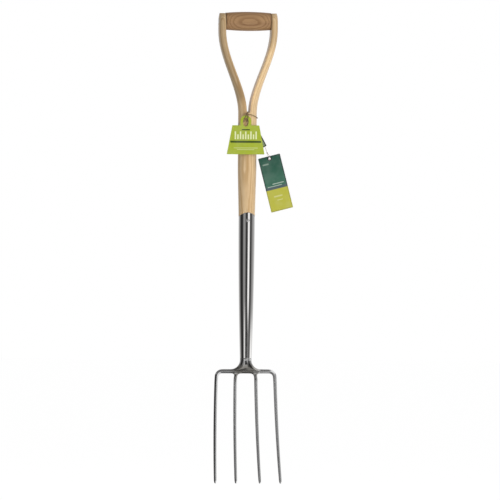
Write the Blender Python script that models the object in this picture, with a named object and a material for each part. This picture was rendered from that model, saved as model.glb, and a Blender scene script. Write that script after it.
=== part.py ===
"""A border fork: split ash handle, steel socket, four-tined head, and the shop tags on its throat.

Metres, +Z up, seen from the front along +Y. The origin is the middle of the hand grip's underside,
where the fork hangs on a peg.
"""

import math

import bmesh
import bpy
from mathutils import Matrix, Vector

# Fits
GAP = 0.0003  # between pieces that touch

# Hand grip
GRIP_SPAN = 0.0944  # between the arms
GRIP_HEIGHT = 0.0394  # middle of the barrel, up and down
GRIP_DEPTH = 0.0362  # middle of the barrel, front to back
GRIP_END_DROP = 0.0042  # how much less it is across at its ends

# Arms of the split handle
ARM_TOP_THICKNESS = 0.0136
ARM_TOP_DEPTH = 0.0344  # also the diameter of its round end
ARM_CORNER = 0.0030  # inner long corners at the top
ARM_SHOULDER = 0.0090  # outer long corners at the top
ARM_END_ROUNDING = 0.0018
ARM_HOLLOW = 0.0005  # how much thinner the arms are halfway up
THROAT_DROP = 0.1695  # bottom of the split below the grip's underside
BEND_HEIGHT = 0.1700  # height over which the arms spread
KERF = 0.0070  # width of the split at the throat

# Shaft
SHAFT_DIAMETER = 0.0384
TAPER_DROP = 0.2860  # start of the taper below the grip's underside
PLUG_LENGTH = 0.2400  # wood inside the socket

# Socket
SOCKET_DROP = 0.3747  # crown of its top edge below the grip's underside
SOCKET_LENGTH = 0.3010
SOCKET_TOP_DIAMETER = 0.0338
SOCKET_END_DIAMETER = 0.0242
SOCKET_TAPER_POWER = 1.9
SOCKET_WALL = 0.0016
CROWN_HEIGHT = 0.0083  # top edge: front and back above the sides

# Socket rivet, from front to back
RIVET_BELOW_CROWN = 0.0162
RIVET_RADIUS = 0.0025
RIVET_HEAD_RADIUS = 0.0039
RIVET_HEAD_HEIGHT = 0.0018
RIVET_WASHER_RADIUS = 0.0052
RIVET_WASHER_THICKNESS = 0.0010

# Rod through the grip, and rivet across the throat
ROD_RADIUS = 0.0030
ROD_HEAD_RADIUS = 0.0048
ROD_HEAD_HEIGHT = 0.0009
ROD_WASHER_RADIUS = 0.0062
ROD_WASHER_THICKNESS = 0.0010
THROAT_RIVET_BELOW = 0.0240  # below the bottom of the split
THROAT_RIVET_RADIUS = 0.0020
THROAT_HEAD_RADIUS = 0.0033
THROAT_HEAD_HEIGHT = 0.0008
THROAT_WASHER_RADIUS = 0.0045
THROAT_WASHER_THICKNESS = 0.0008

# Weld and shoulder
WELD_HEIGHT = 0.0040
SPIGOT_LENGTH = 0.0260
SHOULDER_HALF_WIDTH = 0.0300
SHOULDER_HALF_DEPTH = 0.0074
SHOULDER_LIP = 0.0010  # metal over the crossbar's edge at its ends

# Crossbar and tines: a bar on edge, so its section is a diamond
SHOULDER_HEIGHT = 0.0229  # from the neck down to the crossbar's middle
BAR_ACROSS = 0.0100  # corner to corner in the plane of the head
BAR_DEPTH = 0.0118  # corner to corner, front to back
BAR_CORNER = 0.22  # share of each side that its corners take
BEND_RADIUS = 0.0112
TINE_LENGTH = 0.2302  # from the crossbar's middle
OUTER_TINE_OFFSET = 0.0607
OUTER_TIP_OFFSET = 0.0678
INNER_TINE_OFFSET = 0.0212
INNER_TIP_OFFSET = 0.0249
TINE_ACROSS = 0.0087  # at its top
TIP_ACROSS = 0.0067
TIP_DEPTH = 0.0076
TIP_LENGTH = 0.0110  # the rounded point
TINE_DISH = 0.0500  # how far the tips come forward of the shaft
ROOT_FILLET = 0.0070

# Twine and cord
TWINE_RADIUS = 0.0009
CORD_RADIUS = 0.00045
KNOT_RADIUS = 0.0031
KNOT_LEFT = 0.0040  # of the shaft's middle
KNOT_BELOW = 0.0018  # the bottom of the split
KNOT_OFF = 0.0010  # the shaft's front

# Weight tag, from its hole
WEIGHT_TAG_HOLE_OFFSET = (-0.0024, -0.0172)  # from the knot
WEIGHT_TAG_HOLE_SIZE = (0.0058, 0.0090)
WEIGHT_TAG_THICKNESS = 0.0006
RING_HALF_WIDTH = 0.0112
RING_TOP = 0.0140
WEIGHT_TOP = 0.0065
WEIGHT_BOTTOM = 0.0664
WEIGHT_TOP_WIDTH = 0.0560
WEIGHT_BOTTOM_WIDTH = 0.0785

# Rectangular cards
SWING_TAG_HOLE_OFFSET = (0.0476, -0.0920)  # from the knot
SWING_TAG_TILT = math.radians(14.5)
SWING_TAG_WIDTH = 0.0466
SWING_TAG_LENGTH = 0.1143
SWING_TAG_THICKNESS = 0.0005
CARE_CARD_HOLE_OFFSET = (0.0090, -0.0345)  # from the knot
CARE_CARD_TILT = math.radians(28.5)
CARE_CARD_WIDTH = 0.0280
CARE_CARD_LENGTH = 0.0480
CARE_CARD_THICKNESS = 0.0004
CARD_CORNER = 0.0016
HOLE_RADIUS = 0.0026
HOLE_BELOW_EDGE = 0.0052

# Facets
SHAFT_HALF_SIDES = 18
ROUND_SIDES = 24
SOCKET_SIDES = 36

# Worked out from the sizes above
SHAFT_RADIUS = SHAFT_DIAMETER / 2
GRIP_AXIS_Z = GRIP_HEIGHT / 2
ARM_INNER_X = GRIP_SPAN / 2
ARM_OUTER_X = ARM_INNER_X + ARM_TOP_THICKNESS
THROAT_Z = -THROAT_DROP
SOCKET_TOP_Z = -SOCKET_DROP
SOCKET_END_Z = SOCKET_TOP_Z - SOCKET_LENGTH
SHOULDER_TOP_Z = SOCKET_END_Z - WELD_HEIGHT
CROSSBAR_Z = SHOULDER_TOP_Z - SHOULDER_HEIGHT
TIP_Z = CROSSBAR_Z - TINE_LENGTH
RIVET_Z = SOCKET_TOP_Z - RIVET_BELOW_CROWN
THROAT_RIVET_Z = THROAT_Z - THROAT_RIVET_BELOW

# The tags hang in layers in front of the shaft, nearest first
SLIP = GAP / 2
CORD_BACK_Y = -(SHAFT_RADIUS + GAP + SLIP + CORD_RADIUS)
CARE_CARD_Y = CORD_BACK_Y - CORD_RADIUS - SLIP - CARE_CARD_THICKNESS / 2
CORD_MIDDLE_Y = CARE_CARD_Y - CARE_CARD_THICKNESS / 2 - SLIP - CORD_RADIUS
SWING_TAG_Y = CORD_MIDDLE_Y - CORD_RADIUS - SLIP - SWING_TAG_THICKNESS / 2
CORD_FRONT_Y = SWING_TAG_Y - SWING_TAG_THICKNESS / 2 - SLIP - CORD_RADIUS
WEIGHT_TAG_Y = CORD_FRONT_Y - CORD_RADIUS - GAP - WEIGHT_TAG_THICKNESS / 2
TWINE_BACK_Y = WEIGHT_TAG_Y + WEIGHT_TAG_THICKNESS / 2 + SLIP + TWINE_RADIUS
TWINE_FRONT_Y = WEIGHT_TAG_Y - WEIGHT_TAG_THICKNESS / 2 - SLIP - TWINE_RADIUS
KNOT_CENTRE = Vector((-KNOT_LEFT, -(SHAFT_RADIUS + GAP + KNOT_OFF + KNOT_RADIUS), THROAT_Z - KNOT_BELOW))


def beside_knot(offset, y):
    """A point in the layer at y, offset from the knot to the right and up."""
    return Vector((KNOT_CENTRE.x + offset[0], y, KNOT_CENTRE.z + offset[1]))


WEIGHT_TAG_HOLE = beside_knot(WEIGHT_TAG_HOLE_OFFSET, WEIGHT_TAG_Y)
SWING_TAG_HOLE = beside_knot(SWING_TAG_HOLE_OFFSET, SWING_TAG_Y)
CARE_CARD_HOLE = beside_knot(CARE_CARD_HOLE_OFFSET, CARE_CARD_Y)


def clear_scene():
    for obj in list(bpy.data.objects):
        bpy.data.objects.remove(obj)


def make_material(name, colour, roughness, metallic=0.0):
    material = bpy.data.materials.new(name)
    material.use_nodes = True
    shader = material.node_tree.nodes["Principled BSDF"]
    shader.inputs["Base Color"].default_value = (*colour, 1.0)
    shader.inputs["Roughness"].default_value = roughness
    shader.inputs["Metallic"].default_value = metallic
    return material


def make_object(name, bm, material, sharp_degrees=35):
    """Turn a finished bmesh into an object, smooth except at its sharp edges."""
    bmesh.ops.recalc_face_normals(bm, faces=bm.faces)
    mesh = bpy.data.meshes.new(name)
    bm.to_mesh(mesh)
    bm.free()
    mesh.shade_smooth()
    mesh.set_sharp_from_angle(angle=math.radians(sharp_degrees))
    mesh.materials.append(material)
    obj = bpy.data.objects.new(name, mesh)
    bpy.context.collection.objects.link(obj)
    return obj


def loft(name, rings, material, closed=False, sharp_degrees=35):
    """Skin a row of rings with as many points each. A closed row joins its last ring to its first."""
    bm = bmesh.new()
    rows = [[bm.verts.new(point) for point in ring] for ring in rings]
    count = len(rows[0])
    pairs = list(zip(rows, rows[1:]))
    if closed:
        pairs.append((rows[-1], rows[0]))
    for low, high in pairs:
        for i in range(count):
            j = (i + 1) % count
            bm.faces.new((low[i], low[j], high[j], high[i]))
    if not closed:
        bm.faces.new(rows[0])
        bm.faces.new(rows[-1])
    return make_object(name, bm, material, sharp_degrees)


def turned(name, profile, origin, axis, material, closed=False, sides=ROUND_SIDES):
    """Turn a profile of (distance along the axis, radius) about an axis through the origin point.

    A closed profile makes a ring with a bore. An open one runs from one flat end to the other.
    """
    turn = Vector((0, 0, 1)).rotation_difference(Vector(axis)).to_matrix()
    angles = [2 * math.pi * i / sides for i in range(sides)]

    def place(along, radius, angle):
        local = Vector((radius * math.cos(angle), radius * math.sin(angle), along))
        return Vector(origin) + turn @ local

    if closed:
        rings = [[place(a, r, angle) for a, r in profile] for angle in angles]
    else:
        rings = [[place(a, r, angle) for angle in angles] for a, r in profile]
    return loft(name, rings, material, closed)


def as_cutter(obj):
    obj.hide_render = True
    obj.display_type = "WIRE"
    return obj


def cut(target, cutter):
    modifier = target.modifiers.new("cut by " + cutter.name, "BOOLEAN")
    modifier.operation = "DIFFERENCE"
    modifier.solver = "EXACT"
    modifier.object = as_cutter(cutter)


def ease(share):
    """Rise smoothly from 0 to 1 as the share does."""
    share = min(max(share, 0.0), 1.0)
    return share * share * (3 - 2 * share)


def between(start, end, share):
    return start + (end - start) * share


def arc_height(radius_share):
    """Height left on a quarter circle, as a share of its radius."""
    return math.sqrt(max(0.0, 1 - radius_share * radius_share))


def resample(points, count):
    """Spread count + 1 points evenly along a polyline."""
    lengths = [0.0]
    for a, b in zip(points, points[1:]):
        lengths.append(lengths[-1] + (b - a).length)
    spread = []
    i = 0
    for step in range(count + 1):
        wanted = lengths[-1] * step / count
        while i < len(points) - 2 and lengths[i + 1] < wanted:
            i += 1
        span = lengths[i + 1] - lengths[i]
        spread.append(points[i].lerp(points[i + 1], (wanted - lengths[i]) / span))
    return spread


# Outlines of the wood and the socket


def socket_radius(z):
    """Outside of the socket, and of the wood just above it."""
    share = min(max((SOCKET_TOP_Z - z) / SOCKET_LENGTH, 0.0), 1.0)
    drop = (SOCKET_TOP_DIAMETER - SOCKET_END_DIAMETER) * share**SOCKET_TAPER_POWER
    return (SOCKET_TOP_DIAMETER - drop) / 2


def crown_z(x):
    """The arched top edge of the socket, seen from the front."""
    half = SOCKET_TOP_DIAMETER / 2
    radius = (half * half + CROWN_HEIGHT * CROWN_HEIGHT) / (2 * CROWN_HEIGHT)
    return SOCKET_TOP_Z - radius + math.sqrt(radius * radius - x * x)


def shaft_radius(z):
    """The shaft above the socket: straight, then tapered to meet the tube flush."""
    share = (-TAPER_DROP - z) / (SOCKET_DROP - TAPER_DROP)
    return between(SHAFT_RADIUS, SOCKET_TOP_DIAMETER / 2, min(max(share, 0.0), 1.0))


def arm_inner_x(z):
    """Flat inner face of an arm: half the saw cut at the throat, then the bend."""
    rise = z - THROAT_Z
    slot = KERF / 2
    if rise < slot:
        slot = slot * arc_height(1 - rise / slot)
    share = ease(rise / BEND_HEIGHT)
    return slot + (ARM_INNER_X - KERF / 2) * share + arm_hollow(share)


def arm_hollow(share):
    """How far the inner face lies out of its plain curve, from nothing at both ends of the bend."""
    return ARM_HOLLOW * 4 * share * (1 - share)


def arm_lean(z):
    """How much longer a level cut through an arm is than a square one."""
    share = (z - THROAT_Z) / BEND_HEIGHT
    if not 0 < share < 1:
        return 1.0
    slope = (ARM_INNER_X - KERF / 2) / BEND_HEIGHT * 6 * share * (1 - share)
    return math.hypot(1, slope)


def spread_along(outline, count):
    """Drop doubled points from an outline, then spread count + 1 points along it."""
    kept = [outline[0]]
    for point in outline[1:]:
        if (point - kept[-1]).length > 1e-6:
            kept.append(point)
    return resample(kept, count)


def cut_circle(slot):
    """The shaft's circle beyond a slot of this half width, from front to back, measured from the slot."""
    reach = math.acos(slot / SHAFT_RADIUS)
    outline = []
    for i in range(2 * SHAFT_HALF_SIDES + 1):
        angle = reach * (i / SHAFT_HALF_SIDES - 1)
        outline.append(Vector((SHAFT_RADIUS * math.cos(angle) - slot, SHAFT_RADIUS * math.sin(angle), 0)))
    return spread_along(outline, SHAFT_HALF_SIDES)


def rounded_d(end_share):
    """The arm's section at its top. end_share runs from 0 to 1 over the rounded end."""
    depth = ARM_TOP_DEPTH / 2 * arc_height(end_share)
    rounding = ARM_END_ROUNDING * (1 - arc_height(end_share))
    inner = rounding / 3
    outer = ARM_TOP_THICKNESS - rounding
    corner = min(ARM_CORNER, depth * 0.6)
    shoulder = min(ARM_SHOULDER, depth * 0.999, outer - inner - corner)
    front = []
    for i in range(7):
        angle = math.pi / 2 * i / 6
        front.append(Vector((inner + corner * (1 - math.cos(angle)), corner * (1 - math.sin(angle)) - depth, 0)))
    for i in range(13):
        angle = math.pi / 2 * i / 12
        front.append(Vector((outer - shoulder * (1 - math.sin(angle)), shoulder * (1 - math.cos(angle)) - depth, 0)))
    back = [Vector((point.x, -point.y, 0)) for point in reversed(front)]
    return spread_along(front + back, SHAFT_HALF_SIDES)


def arm_ring(z, end_share):
    """Half outline of the right arm at height z, from its inner front corner round to its inner back one."""
    inner = arm_inner_x(z)
    lean = arm_lean(z)
    share = ease((z - THROAT_Z) / BEND_HEIGHT)
    width = 1 - arm_hollow(share) / ARM_TOP_THICKNESS
    ring = []
    for low, high in zip(cut_circle(min(inner, KERF / 2)), rounded_d(end_share)):
        point = low.lerp(high, share)
        ring.append(Vector((inner + point.x * lean * width, point.y, z)))
    return ring


def shaft_ring(radius, z, arched=0.0):
    """Half circle of the shaft on its right side, with its height following the socket's crown if arched."""
    ring = []
    for i in range(SHAFT_HALF_SIDES + 1):
        angle = math.pi * (i / SHAFT_HALF_SIDES - 0.5)
        x = radius * math.cos(angle)
        y = radius * math.sin(angle)
        lift = (crown_z(x) - SOCKET_TOP_Z) * arched
        ring.append(Vector((x, y, z + lift)))
    ring[0].x = 0.0
    ring[-1].x = 0.0
    return ring


def plug_radius(z):
    return socket_radius(z) - SOCKET_WALL - GAP


def shaft_levels():
    """Right half rings from the plug's end up to the throat."""
    plug_end = SOCKET_TOP_Z - PLUG_LENGTH
    chamfer = 0.0015
    levels = [
        shaft_ring(plug_radius(plug_end) - chamfer, plug_end),
        shaft_ring(plug_radius(plug_end), plug_end + chamfer),
    ]
    seat = SOCKET_TOP_Z + GAP
    top = seat - CROWN_HEIGHT - 0.008
    for i in range(1, 6):
        z = between(plug_end + chamfer, top, i / 5)
        levels.append(shaft_ring(plug_radius(z), z))
    levels.append(shaft_ring(plug_radius(SOCKET_TOP_Z), seat, arched=1.0))
    levels.append(shaft_ring(SOCKET_TOP_DIAMETER / 2, seat, arched=1.0))
    start = SOCKET_TOP_Z + 0.006
    for i in range(5):
        z = between(start, -TAPER_DROP, i / 4)
        levels.append(shaft_ring(shaft_radius(z), z))
    for i in range(1, 5):
        z = between(-TAPER_DROP, THROAT_Z, i / 4)
        levels.append(shaft_ring(SHAFT_RADIUS, z))
    return levels


def arm_levels():
    """Right arm rings from just above the throat to its rounded end."""
    levels = []
    for rise in (KERF / 8, KERF / 3, KERF / 2, KERF * 2):
        levels.append(arm_ring(THROAT_Z + rise, 0.0))
    first = KERF * 3
    steps = 17
    for i in range(steps + 1):
        levels.append(arm_ring(THROAT_Z + between(first, GRIP_AXIS_Z + THROAT_DROP, i / steps), 0.0))
    for degrees in (16, 32, 46, 58, 68, 77):
        share = math.sin(math.radians(degrees))
        levels.append(arm_ring(GRIP_AXIS_Z + ARM_TOP_DEPTH / 2 * share, share))
    return levels


def make_ash_shaft(wood):
    """One stick, split at the throat: rings of the whole shaft below it, and of each arm above."""
    bm = bmesh.new()
    below = shaft_levels()
    above = arm_levels()
    flip = Vector((-1, 1, 1))
    right = []
    left = []
    for ring in below:
        row = [bm.verts.new(point) for point in ring]
        middle = [bm.verts.new(point * flip) for point in ring[1:-1]]
        right.append(row)
        left.append([row[0], *middle, row[-1]])
    for ring in above:
        right.append([bm.verts.new(point) for point in ring])
        left.append([bm.verts.new(point * flip) for point in ring])
    throat = len(below) - 1
    for rows in (right, left):
        for level, (low, high) in enumerate(zip(rows, rows[1:])):
            for i in range(SHAFT_HALF_SIDES):
                bm.faces.new((low[i], low[i + 1], high[i + 1], high[i]))
            if level >= throat:
                bm.faces.new((low[-1], low[0], high[0], high[-1]))
        bm.faces.new(rows[-1])
    bm.faces.new(right[0] + left[0][-2:0:-1])
    shaft = make_object("ash_shaft", bm, wood)
    cut(shaft, rod_bore("grip_rod_bore", GRIP_AXIS_Z, ARM_OUTER_X, ROD_FASTENER))
    cut(shaft, rod_bore("throat_rivet_bore", THROAT_RIVET_Z, SHAFT_RADIUS, THROAT_FASTENER))
    reach = SOCKET_TOP_DIAMETER
    profile = [(-reach, RIVET_RADIUS + GAP), (reach, RIVET_RADIUS + GAP)]
    cut(shaft, turned("shaft_rivet_bore", profile, (0, 0, RIVET_Z), (0, 1, 0), wood))
    return shaft


# Cross fasteners: a rod with two heads, each on a washer that is let into the wood

ROD_FASTENER = {
    "radius": ROD_RADIUS,
    "head": ROD_HEAD_RADIUS,
    "head_height": ROD_HEAD_HEIGHT,
    "washer": ROD_WASHER_RADIUS,
    "washer_thickness": ROD_WASHER_THICKNESS,
}
THROAT_FASTENER = {
    "radius": THROAT_RIVET_RADIUS,
    "head": THROAT_HEAD_RADIUS,
    "head_height": THROAT_HEAD_HEIGHT,
    "washer": THROAT_WASHER_RADIUS,
    "washer_thickness": THROAT_WASHER_THICKNESS,
}


def seat_depth(fastener):
    """Depth of the recess that brings the head flush with the wood."""
    return fastener["washer_thickness"] + fastener["head_height"] + 2 * GAP


def rod_bore(name, z, face_x, fastener):
    """Cutter: a bore along X with a recess for a washer at each face."""
    seat = face_x - seat_depth(fastener)
    far = face_x + SHAFT_RADIUS / 4
    wide = fastener["washer"] + GAP
    bore = fastener["radius"] + GAP
    profile = [(-far, wide), (-seat, wide), (-seat, bore), (seat, bore), (seat, wide), (far, wide)]
    return turned(name, profile, (0, 0, z), (1, 0, 0), None)


def make_rod(name, z, face_x, fastener, steel):
    under = face_x - fastener["head_height"]
    radius = fastener["radius"]
    head = fastener["head"]
    rim = fastener["head_height"] / 3
    half = [(0.0, radius), (under, radius), (under, head), (face_x - rim, head), (face_x, head - rim)]
    profile = [(-a, r) for a, r in reversed(half)] + half[1:]
    return turned(name, profile, (0, 0, z), (1, 0, 0), steel)


def make_washer(name, z, face_x, side, fastener, steel):
    """side is -1 on the left and 1 on the right."""
    inner = face_x - seat_depth(fastener) + GAP
    outer = inner + fastener["washer_thickness"]
    bore = fastener["radius"] + GAP
    rim = fastener["washer"]
    profile = [(inner, bore), (inner, rim), (outer, rim), (outer, bore)]
    return turned(name, profile, (0, 0, z), (side, 0, 0), steel, closed=True)


def make_hand_grip(wood):
    """A barrel along X between the arms, bored for its rod."""
    stations = 12
    half = GRIP_SPAN / 2 - GAP
    rings = []
    for i in range(stations + 1):
        share = 2 * i / stations - 1
        swell = GRIP_END_DROP / 2 * share * share
        ring = []
        for k in range(ROUND_SIDES + 8):
            angle = 2 * math.pi * k / (ROUND_SIDES + 8)
            y = (GRIP_DEPTH / 2 - swell) * math.cos(angle)
            z = (GRIP_HEIGHT / 2 - swell) * math.sin(angle)
            ring.append((half * share, y, GRIP_AXIS_Z + z))
        rings.append(ring)
    grip = loft("hand_grip", rings, wood)
    bore = [(-GRIP_SPAN, ROD_RADIUS + GAP), (GRIP_SPAN, ROD_RADIUS + GAP)]
    cut(grip, turned("grip_bore", bore, (0, 0, GRIP_AXIS_Z), (1, 0, 0), wood))
    return grip


def make_socket(steel):
    """Tapered tube whose top edge follows the crown, with a hole for the rivet."""
    steps = 8
    lowest_side = min(crown_z(SOCKET_TOP_DIAMETER / 2), RIVET_Z + RIVET_HEAD_RADIUS) - 0.0006
    below_rivet = RIVET_Z - RIVET_HEAD_RADIUS - 0.0006
    rings = []
    for k in range(SOCKET_SIDES):
        angle = 2 * math.pi * k / SOCKET_SIDES
        direction = Vector((math.cos(angle), math.sin(angle), 0))
        heights = [lowest_side]
        heights += [between(below_rivet, SOCKET_END_Z, i / steps) for i in range(steps + 1)]
        outer = [direction * socket_radius(z) + Vector((0, 0, z)) for z in heights]
        inner = [direction * (socket_radius(z) - SOCKET_WALL) + Vector((0, 0, z)) for z in heights]
        rim = []
        for radius in (SOCKET_TOP_DIAMETER / 2 - SOCKET_WALL, SOCKET_TOP_DIAMETER / 2):
            z = crown_z(SOCKET_TOP_DIAMETER / 2 * math.cos(angle))
            rim.append(direction * radius + Vector((0, 0, z)))
        rings.append([*rim, *outer, *reversed(inner)])
    socket = loft("socket", rings, steel, closed=True)
    reach = SOCKET_TOP_DIAMETER
    profile = [(-reach, RIVET_RADIUS + GAP), (reach, RIVET_RADIUS + GAP)]
    cut(socket, turned("socket_rivet_hole", profile, (0, 0, RIVET_Z), (0, 1, 0), steel))
    return socket


def make_socket_rivet(steel):
    """Domed head in front, shank through tube and wood, peened end over a washer at the back."""
    face = socket_radius(RIVET_Z) + GAP
    profile = []
    for degrees in (75, 55, 30, 0):
        angle = math.radians(degrees)
        height = RIVET_HEAD_HEIGHT * math.sin(angle)
        profile.append((-face - height, RIVET_HEAD_RADIUS * math.cos(angle)))
    profile.append((-face, RIVET_RADIUS))
    back = face + RIVET_WASHER_THICKNESS + GAP
    profile.append((back, RIVET_RADIUS))
    for degrees in (0, 35, 60, 78):
        angle = math.radians(degrees)
        height = RIVET_HEAD_HEIGHT * 0.7 * math.sin(angle)
        profile.append((back + height, RIVET_HEAD_RADIUS * 0.9 * math.cos(angle)))
    return turned("socket_rivet", profile, (0, 0, RIVET_Z), (0, 1, 0), steel)


def make_socket_rivet_washer(steel):
    face = socket_radius(RIVET_Z) + GAP
    bore = RIVET_RADIUS + GAP
    outer = face + RIVET_WASHER_THICKNESS
    profile = [(face, bore), (face, RIVET_WASHER_RADIUS), (outer, RIVET_WASHER_RADIUS), (outer, bore)]
    return turned("socket_rivet_washer", profile, (0, 0, RIVET_Z), (0, 1, 0), steel, closed=True)


def make_neck_weld(steel):
    """The ground weld: a ring with a V section that fills the joint of tube and shoulder."""
    outer = SOCKET_END_DIAMETER / 2
    inner = outer - SOCKET_WALL - GAP
    top = SOCKET_END_Z - GAP
    bottom = SHOULDER_TOP_Z + GAP
    middle = (top + bottom) / 2
    profile = [(bottom, inner), (bottom, outer), (middle, outer + GAP), (top, outer), (top, inner)]
    return turned("neck_weld", profile, (0, 0, 0), (0, 0, 1), steel, closed=True, sides=SOCKET_SIDES)


# Head


def diamond(centre, side, front, half_side, half_front):
    """Section of a bar on edge: a diamond with rounded corners. side and front are unit vectors."""
    sharp_side = half_side / (1 - BAR_CORNER / 2)
    sharp_front = half_front / (1 - BAR_CORNER / 2)
    corners = [side * sharp_side, front * sharp_front, -side * sharp_side, -front * sharp_front]
    ring = []
    for i, corner in enumerate(corners):
        before = corners[i - 1]
        after = corners[(i + 1) % 4]
        ring.append(centre + corner.lerp(before, BAR_CORNER))
        ring.append(centre + corner * (1 - BAR_CORNER / 2))
        ring.append(centre + corner.lerp(after, BAR_CORNER))
    return ring


def dish_y(z):
    """How far forward a tine has come at height z: an arc from the crossbar to the tip."""
    length = CROSSBAR_Z - TIP_Z
    radius = (length * length + TINE_DISH * TINE_DISH) / (2 * TINE_DISH)
    drop = CROSSBAR_Z - z
    return math.sqrt(radius * radius - drop * drop) - radius


def tine_x(z, top_offset, tip_offset):
    """Tines fan out a little towards their tips."""
    share = (CROSSBAR_Z - z) / (CROSSBAR_Z - TIP_Z)
    return between(top_offset, tip_offset, share)


def tine_heights(start_z, steps):
    """Heights down a tine, closer together on the rounded point. Each has its share of the point."""
    point_z = TIP_Z + TIP_LENGTH
    heights = [(between(start_z, point_z, i / steps), 0.0) for i in range(steps + 1)]
    for share in (0.35, 0.65, 0.85, 0.97):
        heights.append((between(point_z, TIP_Z, share), share))
    return heights


def tine_ring(z, point_share, top_offset, tip_offset):
    """Section of a right-hand tine at height z, square to its own line."""
    step = 0.0005
    centre = Vector((tine_x(z, top_offset, tip_offset), dish_y(z), z))
    ahead = Vector((tine_x(z + step, top_offset, tip_offset), dish_y(z + step), z + step))
    along = (centre - ahead).normalized()
    side = Vector((0, -1, 0)).cross(along).normalized()
    front = along.cross(side).normalized()
    share = (CROSSBAR_Z - z) / (CROSSBAR_Z - TIP_Z)
    narrowing = arc_height(point_share)
    half_side = between(TINE_ACROSS, TIP_ACROSS, share) / 2 * narrowing
    half_front = between(BAR_DEPTH, TIP_DEPTH, share) / 2 * narrowing
    return centre, side, front, half_side, half_front


def make_outer_tine_bow(steel):
    """One bar from the left tip over the crossbar to the right tip."""
    half_rings = []
    bend_x = OUTER_TINE_OFFSET - BEND_RADIUS
    for x in (0.0, bend_x * 0.5, bend_x):
        centre = Vector((x, 0, CROSSBAR_Z))
        half_rings.append(diamond(centre, Vector((0, 0, 1)), Vector((0, -1, 0)), BAR_ACROSS / 2, BAR_DEPTH / 2))
    for i in range(1, 6):
        angle = math.pi / 2 * i / 6
        outward = Vector((math.sin(angle), 0, math.cos(angle)))
        centre = Vector((bend_x, 0, CROSSBAR_Z - BEND_RADIUS)) + outward * BEND_RADIUS
        centre.y = dish_y(centre.z)
        across = between(BAR_ACROSS, TINE_ACROSS, i / 6)
        half_rings.append(diamond(centre, outward, Vector((0, -1, 0)), across / 2, BAR_DEPTH / 2))
    for z, point_share in tine_heights(CROSSBAR_Z - BEND_RADIUS, 12):
        station = tine_ring(z, point_share, OUTER_TINE_OFFSET, OUTER_TIP_OFFSET)
        half_rings.append(diamond(*station))
    mirrored = []
    for ring in half_rings[:0:-1]:
        mirrored.append([Vector((-point.x, point.y, point.z)) for point in ring])
    return loft("outer_tine_bow", mirrored + half_rings, steel)


def make_crossbar_slot():
    """Cutter with the crossbar's section, which gives its neighbours their seats."""
    rings = []
    for x in (-2 * SHOULDER_HALF_WIDTH, 2 * SHOULDER_HALF_WIDTH):
        centre = Vector((x, 0, CROSSBAR_Z))
        half_side = BAR_ACROSS / 2 + GAP
        half_front = BAR_DEPTH / 2 + GAP
        rings.append(diamond(centre, Vector((0, 0, 1)), Vector((0, -1, 0)), half_side, half_front))
    return loft("crossbar_slot", rings, None)


def make_inner_tine(name, side_sign, steel, slot):
    """A tapering bar whose root spreads in a fillet under the crossbar. side_sign is -1 on the left."""
    top = CROSSBAR_Z - BAR_ACROSS * 0.1
    fillet_top = CROSSBAR_Z - BAR_ACROSS / 2
    rings = []
    for z, share in ((top, 0.0), (fillet_top, 0.0), *((fillet_top - ROOT_FILLET * s, s) for s in (0.15, 0.35, 0.6))):
        spread = ROOT_FILLET * (1 - arc_height(1 - share))
        centre, side, front, half_side, half_front = tine_ring(z, 0.0, INNER_TINE_OFFSET, INNER_TIP_OFFSET)
        centre.x -= spread / 3
        rings.append(diamond(centre, side, front, half_side + spread * 2 / 3, half_front))
    for z, point_share in tine_heights(fillet_top - ROOT_FILLET, 12):
        rings.append(diamond(*tine_ring(z, point_share, INNER_TINE_OFFSET, INNER_TIP_OFFSET)))
    placed = [[Vector((side_sign * point.x, point.y, point.z)) for point in ring] for ring in rings]
    tine = loft(name, placed, steel)
    cut(tine, slot)


def oval(z, half_width, half_depth):
    ring = []
    for k in range(SOCKET_SIDES):
        angle = 2 * math.pi * k / SOCKET_SIDES
        ring.append((half_width * math.cos(angle), half_depth * math.sin(angle), z))
    return ring


def make_shoulder(steel, slot):
    """Spigot for the tube, then a hub that flares out into a saddle on the crossbar."""
    neck = SOCKET_END_DIAMETER / 2
    spigot = neck - SOCKET_WALL - GAP
    rings = [
        oval(SOCKET_END_Z + SPIGOT_LENGTH, spigot * 0.9, spigot * 0.9),
        oval(SOCKET_END_Z + SPIGOT_LENGTH - spigot * 0.1, spigot, spigot),
        oval(SHOULDER_TOP_Z, spigot - GAP, spigot - GAP),
        oval(SHOULDER_TOP_Z, neck, neck),
    ]
    steps = 8
    flare = SHOULDER_TOP_Z - (CROSSBAR_Z + BAR_ACROSS / 2 + SHOULDER_LIP)
    for i in range(1, steps + 1):
        angle = math.pi / 2 * i / steps
        width = between(neck, SHOULDER_HALF_WIDTH, 1 - math.cos(angle))
        depth = between(neck, SHOULDER_HALF_DEPTH, ease(i / steps))
        rings.append(oval(SHOULDER_TOP_Z - flare * math.sin(angle), width, depth))
    rings.append(oval(CROSSBAR_Z, SHOULDER_HALF_WIDTH - SHOULDER_LIP, BAR_DEPTH * 0.44))
    cut(loft("shoulder", rings, steel), slot)


# Twine, cord and tags


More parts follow.
